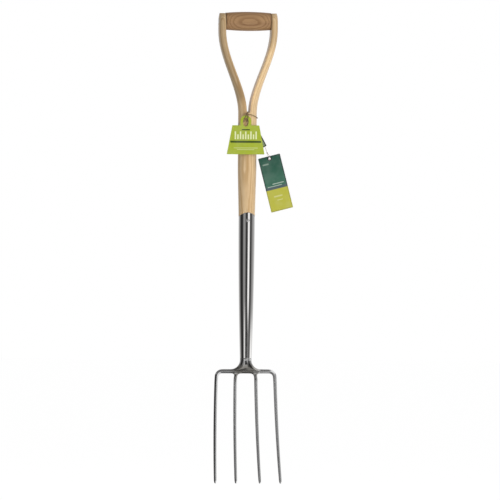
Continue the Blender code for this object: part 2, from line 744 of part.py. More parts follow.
def make_cord(name, points, radius, material, swollen=()):
    """A cord through hand-picked points, smoothed by a curve. swollen lists (index, factor) for knots."""
    smooth = []
    count = len(points)
    for i in range(count - 1):
        a = points[max(i - 1, 0)]
        b = points[i]
        c = points[i + 1]
        d = points[min(i + 2, count - 1)]
        pieces = max(1, round((c - b).length / (radius * 4)))
        for k in range(pieces):
            t = k / pieces
            bend = 2 * b + (c - a) * t + (2 * a - 5 * b + 4 * c - d) * t**2
            point = (bend + (3 * b - 3 * c + d - a) * t**3) / 2
            smooth.append((point, i + t))
    smooth.append((points[-1], count - 1.0))
    curve = bpy.data.curves.new(name, "CURVE")
    curve.dimensions = "3D"
    curve.bevel_depth = radius
    curve.bevel_resolution = 2
    curve.use_fill_caps = True
    spline = curve.splines.new("POLY")
    spline.points.add(len(smooth) - 1)
    for target, (point, place) in zip(spline.points, smooth):
        target.co = (*point, 1.0)
        for index, factor in swollen:
            if abs(place - index) < 0.3:
                target.radius = factor
    curve.materials.append(material)
    obj = bpy.data.objects.new(name, curve)
    bpy.context.collection.objects.link(obj)
    return obj


def off_knot(direction, more=0.0):
    """Where a strand leaves the knot."""
    return KNOT_CENTRE + Vector(direction).normalized() * (KNOT_RADIUS + GAP + more)


def binding_points():
    """Round the right arm: out of the knot, across the front, round the back, and out through the split."""
    reach = SHAFT_RADIUS + GAP + TWINE_RADIUS
    in_split = THROAT_Z + KERF / 3
    points = [off_knot((0.905, 0.370, -0.214))]
    wrap = (
        (12, 0.0006, -0.0036),
        (30, 0.0003, -0.0056),
        (55, 0.0002, -0.0084),
        (80, 0.0002, -0.0100),
        (105, 0.0002, -0.0100),
        (130, 0.0002, -0.0082),
        (152, 0.0003, -0.0048),
        (168, 0.0006, -0.0014),
    )
    for degrees, lift, drop in wrap:
        angle = math.radians(degrees)
        radius = reach + lift
        points.append(Vector((radius * math.sin(angle), -radius * math.cos(angle), THROAT_Z + drop)))
    for share, x, rise in ((1.04, 0.0006, -0.0003), (0.9, 0, 0), (0, 0, 0), (-0.9, 0, 0)):
        points.append(Vector((x, reach * share, in_split + rise)))
    points.append(off_knot((0.44, 0.72, 0.54)))
    return points


def tag_twine_points():
    """From the knot down in front of the ring, through the hole and up behind it, and back the same way."""
    hole = WEIGHT_TAG_HOLE
    inside = WEIGHT_TAG_HOLE_SIZE[0] - TWINE_RADIUS - 2 * GAP
    foot = hole.z + WEIGHT_TAG_HOLE_SIZE[1] * 0.22
    knot_edge = KNOT_RADIUS + TWINE_RADIUS + GAP
    forward = TWINE_FRONT_Y - TWINE_RADIUS / 2
    left = [
        off_knot((-0.44, -0.80, -0.42), GAP),
        Vector((KNOT_CENTRE.x - 0.0026, forward, KNOT_CENTRE.z - 0.0058)),
        Vector((hole.x - inside * 0.70, forward, hole.z + 0.0070)),
        Vector((hole.x - inside * 0.98, TWINE_FRONT_Y, foot)),
        Vector((hole.x - inside, WEIGHT_TAG_Y, foot - 0.0014)),
        Vector((hole.x - inside * 0.95, TWINE_BACK_Y, foot)),
        Vector((hole.x - inside * 0.60, TWINE_BACK_Y, hole.z + 0.0070)),
        Vector((KNOT_CENTRE.x - 0.0026, TWINE_BACK_Y, KNOT_CENTRE.z - 0.0061)),
    ]
    top = Vector((KNOT_CENTRE.x, TWINE_BACK_Y, KNOT_CENTRE.z - knot_edge - 0.0006))
    right = [
        Vector((KNOT_CENTRE.x + 0.0022, TWINE_BACK_Y, KNOT_CENTRE.z - 0.0064)),
        Vector((hole.x + inside * 0.80, TWINE_BACK_Y, hole.z + 0.0062)),
        Vector((hole.x + inside * 0.98, TWINE_BACK_Y, foot)),
        Vector((hole.x + inside, WEIGHT_TAG_Y, foot - 0.0014)),
        Vector((hole.x + inside, TWINE_FRONT_Y, foot)),
        Vector((hole.x + inside * 0.85, forward, hole.z + 0.0062)),
        Vector((KNOT_CENTRE.x + 0.0022, forward, KNOT_CENTRE.z - 0.0062)),
        off_knot((0.36, -0.80, -0.48), GAP),
    ]
    return [*left, top, *right]


def tag_cord_points():
    """From the knot behind the weight tag, through the care card, and round the swing tag's top edge."""
    card = CARE_CARD_HOLE
    tag = SWING_TAG_HOLE
    last = Vector((tag.x - 0.0050, CORD_MIDDLE_Y, tag.z + 0.0118))
    points = [
        off_knot((0.25, 0.62, -0.74), SLIP),
        Vector((between(KNOT_CENTRE.x, card.x, 0.30), CORD_MIDDLE_Y, between(KNOT_CENTRE.z, card.z, 0.25))),
        Vector((between(KNOT_CENTRE.x, card.x, 0.75), CORD_MIDDLE_Y, between(KNOT_CENTRE.z, card.z, 0.65))),
        Vector((card.x - 0.0008, CORD_MIDDLE_Y, card.z + 0.0021)),
        Vector((card.x, CARE_CARD_Y, card.z)),
        Vector((card.x + 0.0010, CORD_BACK_Y, card.z - 0.0021)),
    ]
    start = points[-1]
    for share in (0.12, 0.3, 0.5, 0.7, 0.86):
        bow = 0.0045 * math.sin(math.pi * share)
        x = between(start.x, last.x, share) + bow
        points.append(Vector((x, CORD_BACK_Y, between(start.z, last.z, share) + bow)))
    points.append(last)
    points += [
        Vector((tag.x - 0.0040, CORD_MIDDLE_Y, tag.z + 0.0080)),
        Vector((tag.x - 0.0026, CORD_MIDDLE_Y, tag.z + 0.0038)),
        Vector((tag.x - 0.0017, CORD_MIDDLE_Y, tag.z)),
        Vector((tag.x, SWING_TAG_Y, tag.z - 0.0017)),
        Vector((tag.x + 0.0014, CORD_FRONT_Y, tag.z)),
        Vector((tag.x + 0.0006, CORD_FRONT_Y, tag.z + 0.0036)),
        Vector((tag.x - 0.0020, CORD_FRONT_Y, tag.z + 0.0082)),
        Vector((tag.x - 0.0040, CORD_FRONT_Y, tag.z + 0.0110)),
    ]
    return points


CORD_KNOT_INDEX = 11
CORD_KNOT_FACTOR = 2.2


def make_knot(twine):
    """The tied lump at the throat."""
    bm = bmesh.new()
    bmesh.ops.create_icosphere(bm, subdivisions=3, radius=KNOT_RADIUS)
    for vertex in bm.verts:
        angle = math.atan2(vertex.co.z, vertex.co.x)
        vertex.co *= 0.97 + 0.03 * math.cos(3 * angle + vertex.co.y / KNOT_RADIUS * 2)
    knot = make_object("twine_knot", bm, twine)
    knot.location = KNOT_CENTRE
    return knot


def rounded_outline(corners, radius):
    """A polygon in XZ with each corner given as (x, z), rounded by an arc."""
    points = [Vector((x, 0, z)) for x, z in corners]
    outline = []
    for i, corner in enumerate(points):
        to_last = (points[i - 1] - corner).normalized()
        to_next = (points[(i + 1) % len(points)] - corner).normalized()
        reach = radius / math.tan(to_last.angle(to_next) / 2)
        start = corner + to_last * reach
        end = corner + to_next * reach
        for k in range(5):
            t = k / 4
            outline.append(start * (1 - t) ** 2 + corner * 2 * t * (1 - t) + end * t**2)
    return outline


def make_card(name, outline, hole_size, thickness, material):
    """A flat card in XZ with an oval hole round its origin."""
    hole = []
    for k in range(20):
        angle = 2 * math.pi * k / 20
        hole.append(Vector((hole_size[0] * math.cos(angle), 0, hole_size[1] * math.sin(angle))))
    bm = bmesh.new()
    sides = []
    for y in (-thickness / 2, thickness / 2):
        edges = []
        rows = []
        for loop in (outline, hole):
            row = [bm.verts.new((point.x, y, point.z)) for point in loop]
            edges += [bm.edges.new((vertex, row[(i + 1) % len(row)])) for i, vertex in enumerate(row)]
            rows.append(row)
        bmesh.ops.triangle_fill(bm, edges=edges, use_beauty=True)
        sides.append(rows)
    for front, back in zip(*sides):
        for i in range(len(front)):
            j = (i + 1) % len(front)
            bm.faces.new((front[i], front[j], back[j], back[i]))
    return make_object(name, bm, material)


def pivot(name, location):
    """An empty on a joint's axis, which carries what turns about it."""
    empty = bpy.data.objects.new(name, None)
    empty.location = location
    empty.empty_display_size = 0.01
    bpy.context.collection.objects.link(empty)
    return empty


def carry(empty, *objects):
    """Parent objects to an empty and leave them where they are."""
    for obj in objects:
        obj.parent = empty
        obj.matrix_parent_inverse = Matrix.Translation(-empty.location)


def plain_card(name, hole, tilt, width, length, thickness, material):
    """A rectangular card hung by a hole near its top edge."""
    top = HOLE_BELOW_EDGE
    bottom = HOLE_BELOW_EDGE - length
    half = width / 2
    corners = [(-half, top), (half, top), (half, bottom), (-half, bottom)]
    outline = rounded_outline(corners, CARD_CORNER)
    card = make_card(name, outline, (HOLE_RADIUS, HOLE_RADIUS), thickness, material)
    card.location = hole
    card.rotation_euler = (0, -tilt, 0)
    return card


def make_weight_tag(paper):
    """A card like a shop weight: a ring above a trapezium."""
    ring = []
    centre_z = RING_TOP - RING_HALF_WIDTH
    for k in range(15):
        angle = math.pi * k / 14
        ring.append(Vector((-RING_HALF_WIDTH * math.cos(angle), 0, centre_z + RING_HALF_WIDTH * math.sin(angle))))
    top = WEIGHT_TOP_WIDTH / 2
    bottom = WEIGHT_BOTTOM_WIDTH / 2
    corners = [(top, -WEIGHT_TOP), (bottom, -WEIGHT_BOTTOM), (-bottom, -WEIGHT_BOTTOM), (-top, -WEIGHT_TOP)]
    body = rounded_outline(corners, CARD_CORNER)
    neck_right = Vector((RING_HALF_WIDTH, 0, -WEIGHT_TOP))
    neck_left = Vector((-RING_HALF_WIDTH, 0, -WEIGHT_TOP))
    outline = [*ring, neck_right, *body, neck_left]
    tag = make_card("weight_tag", outline, WEIGHT_TAG_HOLE_SIZE, WEIGHT_TAG_THICKNESS, paper)
    tag.location = WEIGHT_TAG_HOLE
    return tag


def build_handle(ash, grip_wood, zinc):
    make_ash_shaft(ash)
    make_hand_grip(grip_wood)
    make_rod("grip_rod", GRIP_AXIS_Z, ARM_OUTER_X, ROD_FASTENER, zinc)
    make_rod("throat_rivet", THROAT_RIVET_Z, SHAFT_RADIUS, THROAT_FASTENER, zinc)
    for word, side in (("left", -1), ("right", 1)):
        make_washer("grip_washer_" + word, GRIP_AXIS_Z, ARM_OUTER_X, side, ROD_FASTENER, zinc)
        make_washer("throat_washer_" + word, THROAT_RIVET_Z, SHAFT_RADIUS, side, THROAT_FASTENER, zinc)


def build_head(stainless, tine_steel):
    make_socket(stainless)
    make_socket_rivet(stainless)
    make_socket_rivet_washer(stainless)
    make_neck_weld(stainless)
    slot = make_crossbar_slot()
    make_shoulder(stainless, slot)
    make_outer_tine_bow(tine_steel)
    make_inner_tine("inner_tine_left", -1, tine_steel, slot)
    make_inner_tine("inner_tine_right", 1, tine_steel, slot)


def build_tags(twine, clear, lime, green, grey):
    make_cord("twine_binding", binding_points(), TWINE_RADIUS, twine)
    make_knot(twine)
    tag_twine = make_cord("tag_twine", tag_twine_points(), TWINE_RADIUS, twine)
    weight_tag = make_weight_tag(lime)
    weight_pivot = pivot("weight_tag_pivot", KNOT_CENTRE)
    carry(weight_pivot, tag_twine, weight_tag)
    swollen = [(CORD_KNOT_INDEX, CORD_KNOT_FACTOR)]
    tag_cord = make_cord("tag_cord", tag_cord_points(), CORD_RADIUS, clear, swollen)
    cord_pivot = pivot("tag_cord_pivot", KNOT_CENTRE)
    carry(cord_pivot, tag_cord)
    care_card = plain_card(
        "care_card", CARE_CARD_HOLE, CARE_CARD_TILT, CARE_CARD_WIDTH, CARE_CARD_LENGTH, CARE_CARD_THICKNESS, grey
    )
    swing_tag = plain_card(
        "swing_tag", SWING_TAG_HOLE, SWING_TAG_TILT, SWING_TAG_WIDTH, SWING_TAG_LENGTH, SWING_TAG_THICKNESS, green
    )
    carry(cord_pivot, care_card, swing_tag)


def main():
    clear_scene()
    ash = make_material("ash", (0.62, 0.42, 0.23), 0.5)
    grip_wood = make_material("grip wood", (0.34, 0.19, 0.09), 0.5)
    zinc = make_material("zinc plated steel", (0.55, 0.55, 0.54), 0.4, 1.0)
    stainless = make_material("polished stainless", (0.62, 0.61, 0.6), 0.15, 1.0)
    tine_steel = make_material("satin stainless", (0.42, 0.42, 0.42), 0.35, 1.0)
    twine = make_material("brown twine", (0.22, 0.14, 0.07), 0.9)
    clear = make_material("clear cord", (0.7, 0.66, 0.62), 0.3)
    lime = make_material("lime card", (0.4, 0.5, 0.08), 0.6)
    green = make_material("green card", (0.05, 0.15, 0.1), 0.5)
    grey = make_material("grey card", (0.3, 0.34, 0.28), 0.6)
    build_handle(ash, grip_wood, zinc)
    build_head(stainless, tine_steel)
    build_tags(twine, clear, lime, green, grey)


main()
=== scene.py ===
from functools import reduce
from math import cos, pi, radians, sin, sqrt, tan

import bmesh
import bpy
from mathutils import Matrix, Vector


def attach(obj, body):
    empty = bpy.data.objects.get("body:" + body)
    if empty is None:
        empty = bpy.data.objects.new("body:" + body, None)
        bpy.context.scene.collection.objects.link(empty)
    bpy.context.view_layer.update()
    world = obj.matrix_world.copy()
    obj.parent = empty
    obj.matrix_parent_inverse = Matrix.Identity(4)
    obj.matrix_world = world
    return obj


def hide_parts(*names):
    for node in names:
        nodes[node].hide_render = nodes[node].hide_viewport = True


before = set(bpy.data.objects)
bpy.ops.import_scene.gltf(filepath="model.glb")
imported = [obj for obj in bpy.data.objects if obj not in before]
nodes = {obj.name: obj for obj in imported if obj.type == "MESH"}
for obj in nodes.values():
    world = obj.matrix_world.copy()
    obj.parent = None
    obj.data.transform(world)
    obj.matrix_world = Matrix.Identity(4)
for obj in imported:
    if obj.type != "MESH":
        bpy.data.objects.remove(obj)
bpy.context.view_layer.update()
print("frame loaded:", len(nodes), "nodes")


# Camera at the photograph's angle: a little to the left of the front, and level
camera = {
    "turn": 7.4,  # degrees to the left of the front
    "lean": 0.42,  # degrees of roll
    "across": 0.0073,  # middle of the picture, from the shaft's line
    "up": -0.452,
    "height": 1.032,  # what the picture shows at the fork
    "distance": 20.0,
}


def makeCamera():
    turn, lean = radians(camera["turn"]), radians(camera["lean"])
    ahead = Vector((sin(turn), cos(turn), 0))
    right = Vector((cos(turn), -sin(turn), 0))
    aim = right * camera["across"] + Vector((0, 0, camera["up"]))
    tiltedRight = right * cos(lean) + Vector((0, 0, sin(lean)))
    tiltedUp = tiltedRight.cross(ahead)
    bpy.ops.object.camera_add(location=aim - ahead * camera["distance"])
    eye = bpy.context.object
    eye.rotation_euler = Matrix((tiltedRight, tiltedUp, -ahead)).transposed().to_euler()
    eye.data.sensor_width = 36
    eye.data.lens = 36 * camera["distance"] / camera["height"]
    eye.data.clip_end = 100
    bpy.context.scene.camera = eye


makeCamera()
print("camera placed")


# Modelling helpers


def deselectAll():
    if bpy.context.object and bpy.context.object.mode != "OBJECT":
        bpy.ops.object.mode_set(mode="OBJECT")
    bpy.ops.object.select_all(action="DESELECT")


def activate(obj):
    deselectAll()
    obj.select_set(True)
    bpy.context.view_layer.objects.active = obj


def startEditing(obj):
    activate(obj)
    bpy.ops.object.mode_set(mode="EDIT")
    bpy.ops.mesh.select_all(action="DESELECT")


def selectWhere(obj, kind, wanted):
    # the vertices or faces whose place passes a test, or the open edges whose two ends do
    bpy.ops.mesh.select_mode(type=kind)
    bpy.ops.mesh.select_all(action="DESELECT")
    mesh = bmesh.from_edit_mesh(obj.data)
    parts, passes = {
        "VERT": (mesh.verts, lambda vertex: wanted(vertex.co)),
        "EDGE": (mesh.edges, lambda edge: edge.is_boundary and all(wanted(v.co) for v in edge.verts)),
        "FACE": (mesh.faces, lambda face: wanted(face.calc_center_median())),
    }[kind]
    for part in parts:
        if passes(part):
            part.select_set(True)
    if kind == "VERT":
        mesh.select_flush(True)
    bmesh.update_edit_mesh(obj.data)


def drawRing(obj, where, extrude):
    # moves each selected vertex to its place, on a new ring if the old one is extruded
    if extrude:
        bpy.ops.mesh.extrude_region_move()
    mesh = bmesh.from_edit_mesh(obj.data)
    for vertex in [v for v in mesh.verts if v.select]:
        vertex.co = where(vertex.co)
    bmesh.update_edit_mesh(obj.data)


def closeForm():
    # turns the faces outwards and ends the editing
    bpy.ops.mesh.select_all(action="SELECT")
    bpy.ops.mesh.normals_make_consistent(inside=False)
    bpy.ops.object.mode_set(mode="OBJECT")


def finishPiece(obj, name, sharp=40):
    # applies what shapes the piece and puts its place into its mesh
    activate(obj)
    for modifier in list(obj.modifiers):
        bpy.ops.object.modifier_apply(modifier=modifier.name)
    bpy.ops.object.transform_apply(location=True, rotation=True, scale=True)
    bpy.ops.object.shade_smooth_by_angle(angle=radians(sharp))
    obj.name = obj.data.name = name
    return obj


def joinPieces(pieces):
    deselectAll()
    for piece in pieces:
        piece.select_set(True)
    bpy.context.view_layer.objects.active = pieces[0]
    bpy.ops.object.join()
    return pieces[0]


def assign(target, settings):
    for name, value in settings.items():
        setattr(target, name, value)
    return target


def modify(obj, kind, **settings):
    assign(obj.modifiers.new(kind.lower(), kind), settings)


def dress(obj, material):
    obj.data.materials.clear()
    obj.data.materials.append(material)


def mix(start, end, share):
    return start + (end - start) * share


def followRing(obj, last, ring, extrude=True):
    # takes each vertex from its point of the last ring to the same point of the next
    drawRing(obj, lambda at: ring[min(range(len(last)), key=lambda i: (last[i] - at).length)], extrude)


def sweepSection(obj, template, stations):
    # draws the selected ring through stations of centre, side, front, half width and half depth
    last = [Vector((*point, 0.0)) for point in template]
    for number, (centre, side, front, halfSide, halfFront) in enumerate(stations):
        ring = [centre + side * (x * halfSide) + front * (y * halfFront) for x, y in template]
        followRing(obj, last, ring, number > 0)
        last = ring


# Cords. Each follows its CAD solid's points on one smooth curve
clearLine = {
    "thick": 0.0009,
    "step": 0.0006,
    "points": (  # from the knot at the throat, through the care card, and through the swing tag and back
        (-0.0036, -0.0228, -0.1725), (-0.0031, -0.0214, -0.1739), (-0.0013, -0.0217, -0.1799),
        (0.0027, -0.0217, -0.1937), (0.0042, -0.0217, -0.2037), (0.0050, -0.0209, -0.2058),
        (0.0060, -0.0201, -0.2079), (0.0116, -0.0201, -0.2115), (0.0194, -0.0201, -0.2173),
        (0.0268, -0.0201, -0.2252), (0.0325, -0.0201, -0.2348), (0.0360, -0.0201, -0.2435),
        (0.0386, -0.0217, -0.2515), (0.0396, -0.0217, -0.2553), (0.0410, -0.0217, -0.2595),
        (0.0419, -0.0217, -0.2633), (0.0436, -0.0225, -0.2650), (0.0450, -0.0234, -0.2633),
        (0.0442, -0.0234, -0.2597), (0.0416, -0.0234, -0.2551), (0.0396, -0.0234, -0.2523),
        (0.0388, -0.0221, -0.2515),
    ),
    "tie": (0.0387, -0.0219, -0.2515),
    "tieSize": 0.00042,
}
twine = {
    "thick": 0.0018,
    "plyRadius": 0.0005,
    "plyOffset": 0.00043,
    "pitch": 0.0046,
    "step": 0.00035,
    "knot": (-0.0040, -0.0236, -0.1713),
    "knotSize": 0.00088,
    "loop": (  # down in front of the weight tag, through its hole and up, and back the same way
        (-0.0047, -0.0249, -0.1719), (-0.0056, -0.0265, -0.1728), (-0.0066, -0.0262, -0.1771),
        (-0.0094, -0.0262, -0.1815), (-0.0106, -0.0258, -0.1865), (-0.0107, -0.0245, -0.1879),
        (-0.0105, -0.0231, -0.1865), (-0.0090, -0.0231, -0.1815), (-0.0066, -0.0231, -0.1774),
        (-0.0040, -0.0231, -0.1762), (-0.0018, -0.0231, -0.1777), (-0.0030, -0.0231, -0.1823),
        (-0.0022, -0.0231, -0.1865), (-0.0021, -0.0245, -0.1879), (-0.0021, -0.0258, -0.1865),
        (-0.0027, -0.0262, -0.1823), (-0.0018, -0.0262, -0.1775), (-0.0027, -0.0266, -0.1731),
        (-0.0033, -0.0249, -0.1721),
    ),
    "binding": (  # from the knot round the right arm and back through the split
        (-0.0025, -0.0230, -0.1716), (-0.0009, -0.0223, -0.1720), (0.0044, -0.0205, -0.1731),
        (0.0104, -0.0179, -0.1751), (0.0169, -0.0118, -0.1779), (0.0203, -0.0036, -0.1795),
        (0.0199, 0.0053, -0.1795), (0.0158, 0.0132, -0.1777), (0.0097, 0.0183, -0.1743),
        (0.0044, 0.0205, -0.1709), (0.0006, 0.0212, -0.1675), (0.0, 0.0184, -0.1672),
        (0.0, 0.0, -0.1672), (0.0, -0.0184, -0.1672), (-0.0025, -0.0212, -0.1695),
        (-0.0032, -0.0224, -0.1703),
    ),
}


def smoothRoute(points, step):
    points = [Vector(point) for point in points]
    route = []
    for i in range(len(points) - 1):
        a, b, c, d = points[max(i - 1, 0)], points[i], points[i + 1], points[min(i + 2, len(points) - 1)]
        parts = max(1, round((c - b).length / step))
        for k in range(parts):
            t = k / parts
            bend = 2 * b + (c - a) * t + (2 * a - 5 * b + 4 * c - d) * t**2
            route.append((bend + (3 * b - 3 * c + d - a) * t**3) / 2)
    route.append(points[-1])
    return route


def routeLength(route):
    return sum((b - a).length for a, b in zip(route, route[1:]))


def meshFromCurve(name, loops, **settings):
    curve = assign(bpy.data.curves.new(name, "CURVE"), settings)
    for loop in loops:
        spline = curve.splines.new("POLY")
        spline.points.add(len(loop) - 1)
        for target, point in zip(spline.points, loop):
            target.co = (*point.to_3d(), 1.0)
        spline.use_cyclic_u = curve.dimensions == "2D"
    obj = bpy.data.objects.new(name, curve)
    bpy.context.collection.objects.link(obj)
    activate(obj)
    bpy.ops.object.convert(target="MESH")
    return bpy.context.object


def drawStrand(name, route, radius, resolution):
    form = {"bevel_depth": radius, "bevel_resolution": resolution, "use_fill_caps": True}
    return meshFromCurve(name, [route], dimensions="3D", **form)


def twistTwine(name, route):
    # two plies wound round each other along the route
    side = Vector((0.3, 0.5, 0.8))
    travelled = 0.0
    plies = ([], [])
    for i, point in enumerate(route):
        before, after = route[max(i - 1, 0)], route[min(i + 1, len(route) - 1)]
        along = (after - before).normalized()
        side = (side - along * side.dot(along)).normalized()
        over = along.cross(side)
        travelled += (point - before).length
        for number, ply in enumerate(plies):
            turn = 2 * pi * travelled / twine["pitch"] + pi * number
            ply.append(point + (side * cos(turn) + over * sin(turn)) * twine["plyOffset"])
    strands = [drawStrand(name, ply, twine["plyRadius"], 2) for ply in plies]
    return finishPiece(joinPieces(strands), name, 60)


def knotRoute(centre, size, turn, count=90):
    # a tight overhand knot: its strand goes twice round, over and under itself
    spin = Matrix.Rotation(radians(turn), 3, "Y")
    route = []
    for i in range(count + 1):
        t = 2 * pi * i / count
        reach = 1.45 + 1.05 * cos(3 * t)
        at = Vector((reach * cos(2 * t), 1.1 * sin(3 * t), reach * sin(2 * t)))
        route.append(Vector(centre) + spin @ at * size)
    return route


def makeCords():
    radius = clearLine["thick"] / 2
    route = smoothRoute(clearLine["points"], clearLine["step"])
    clear = finishPiece(drawStrand("clear_line", route, radius, 3), "clear_line", 60)
    tieRoute = knotRoute(clearLine["tie"], clearLine["tieSize"], 20)
    tie = finishPiece(drawStrand("clear_line_knot", tieRoute, radius, 2), "clear_line_knot", 60)
    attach(clear, "tag_cord")
    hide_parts("tag_cord")
    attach(tie, "tag_cord")

    route = smoothRoute(twine["loop"], twine["step"])
    loop = twistTwine("tag_loop", route)
    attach(loop, "weight_tag")
    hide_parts("tag_twine")

    binding = twistTwine("throat_binding", smoothRoute(twine["binding"], twine["step"]))
    knot = twistTwine("throat_knot", knotRoute(twine["knot"], twine["knotSize"], -15))
    for piece, node in ((binding, "twine_binding"), (knot, "twine_knot")):
        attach(piece, "fork")
        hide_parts(node)
    print("cords laid:", round(routeLength(route), 4), "m of twine in the tag's loop")
    return clear, tie, loop, binding, knot


clear, clearTie, tagLoop, throatBinding, throatKnot = makeCords()


# Studio: white to the camera, with soft light, and a curtain of pale and dark strips for the steel to mirror
studio = {
    "fill": 0.47,  # what the world gives to surfaces
    "ceiling": 0.20,  # what steel sees above and below the curtain
    "floorHeight": -1.02,
    "floorLift": 0.62,  # brings the lit floor up to white for the camera
    "keyTurn": 33.0,  # degrees to the right of the camera
    "keyDistance": 2.0,
    "keyWatts": 23.0,
    "keySize": (0.45, 2.2),
    "curtainRadius": 2.2,
    "curtainTop": 1.15,
    "curtainLift": 0.002,  # over the floor
    "rightSky": 1.25,  # the ceiling's right part
    "underHead": 0.14,  # the ground right below the head
    "underReach": (0.06, 0.16),
    "lowGlint": 0.95,  # a bright band in front, below the socket
    "glintTop": -0.860,
    "glintReach": (0.5, 0.9),
    "skyFoot": (0.1, 0.5),  # heights between which the upper part takes over
    "crossing": (-0.76, -0.63),  # heights between which one bright strip takes over from the other
}
# degrees to the right of the camera, and brightness, above the crossing and below it
curtainStrips = (
    (-180, 0.85, 0.85), (-140, 0.80, 0.80), (-113, 0.34, 0.42), (-98, 0.14, 0.22), (-86, 0.03, 0.05),
    (-62, 0.03, 0.02), (-52, 0.10, 0.04), (-40, 0.40, 0.30), (-27, 0.40, 1.30), (-16, 0.28, 0.85),
    (-8, 0.07, 0.08), (8, 0.03, 0.04), (16, 0.16, 0.05), (23, 1.30, 0.14), (38, 1.50, 0.30),
    (47, 0.40, 0.26), (56, 0.06, 0.14), (68, 0.03, 0.10), (80, 0.26, 0.50), (95, 0.42, 1.40),
    (113, 0.50, 1.40), (140, 0.85, 0.85), (180, 0.85, 0.85),
)
# the same for the curtain's upper part, and for the ground
skyStrips = ((-180, 0.5), (-60, 0.3), (0, 0.3), (50, 0.5), (72, 1.25), (128, 1.25), (150, 0.7), (180, 0.5))
groundStrips = (
    (-180, 0.50), (-120, 0.30), (-90, 0.06), (-40, 0.08), (0, 0.22), (40, 0.60), (80, 1.25),
    (104, 1.60), (140, 1.00), (180, 0.50),
)


def feed(node, inputs):
    # links what comes from another node and sets the plain values
    for socket, value in inputs.items():
        if isinstance(value, bpy.types.NodeSocket):
            node.id_data.links.new(value, node.inputs[socket])
        else:
            node.inputs[socket].default_value = value
    return node


def newNode(kind, inputs=None, tree=None, **settings):
    # joins the tree of the sockets that feed it, unless a tree is given
    values = (inputs or {}).values()
    tree = tree or next(value.id_data for value in values if isinstance(value, bpy.types.NodeSocket))
    return feed(assign(tree.nodes.new("ShaderNode" + kind), settings), inputs or {})


def calc(operation, *values, clamp=False):
    return newNode("Math", dict(enumerate(values)), operation=operation, use_clamp=clamp).outputs[0]


def times(*values):
    return reduce(lambda a, b: calc("MULTIPLY", a, b), values)


def largest(*values):
    return reduce(lambda a, b: calc("MAXIMUM", a, b), values)


def split(vector):
    return newNode("SeparateXYZ", {0: vector}).outputs[:]


def combine(x, y, z=0.0):
    return newNode("CombineXYZ", {0: x, 1: y, 2: z}).outputs[0]


def between(value, low, high, start=0.0, end=1.0, kind="SMOOTHSTEP"):
    inputs = {"Value": value, "From Min": low, "From Max": high, "To Min": start, "To Max": end}
    return newNode("MapRange", inputs, interpolation_type=kind).outputs["Result"]


def blend(share, first, second, kind="MIX"):
    node = newNode("Mix", {0: share, 6: first, 7: second}, data_type="RGBA", blend_type=kind)
    return node.outputs[2]


def seenBy(tree, *kinds):  # 1 for these kinds of ray
    path = newNode("LightPath", tree=tree)
    return largest(*[path.outputs[kind] for kind in kinds])


def grey(value):
    return (value, value, value, 1)


def emptyMaterial(name):
    material = bpy.data.materials.new(name)
    material.use_nodes = True
    tree = material.node_tree
    tree.nodes.clear()
    return material, tree, newNode("OutputMaterial", tree=tree)


def makeWorld():
    world = bpy.data.worlds.new("studio")
    bpy.context.scene.world = world
    world.use_nodes = True
    tree = world.node_tree
    tree.nodes.clear()
    toRight = split(newNode("TexCoord", tree=tree).outputs["Generated"])[0]
    ceiling = between(toRight, 0.15, 0.45, studio["ceiling"], studio["rightSky"])
    mirrored = seenBy(tree, "Is Glossy Ray")
    strength = newNode("Mix", {0: mirrored, 2: studio["fill"], 3: ceiling}).outputs[0]
    strength = largest(strength, seenBy(tree, "Is Camera Ray", "Is Transmission Ray"))
    background = newNode("Background", {"Color": grey(1.0), "Strength": strength})
    newNode("OutputWorld", {"Surface": background.outputs[0]})


def makeFloor():
    bpy.ops.mesh.primitive_plane_add(size=60, location=(0, 0, studio["floorHeight"]))
    floor = bpy.context.object
    floor.name = "floor"
    material, tree, output = emptyMaterial("paleFloor")
    paint = newNode("BsdfDiffuse", {"Color": grey(0.8)}, tree)
    lift = times(seenBy(tree, "Is Camera Ray", "Is Glossy Ray", "Is Transmission Ray"), studio["floorLift"])
    glow = newNode("Emission", {"Color": grey(1.0), "Strength": lift})
    both = newNode("AddShader", {0: paint.outputs[0], 1: glow.outputs[0]})
    feed(output, {"Surface": both.outputs[0]})
    dress(floor, material)


def stripRamp(share, strips):  # strips are pairs of an angle and a brightness
    ramp = newNode("ValToRGB", {0: share})
    stops = ramp.color_ramp.elements
    for _ in strips[2:]:
        stops.new(0.5)
    for stop, (angle, _) in zip(stops, strips):
        stop.position = angle / 360 + 0.5
    for stop, (_, bright) in zip(stops, strips):
        stop.color = grey(bright)
    return ramp.outputs["Color"]


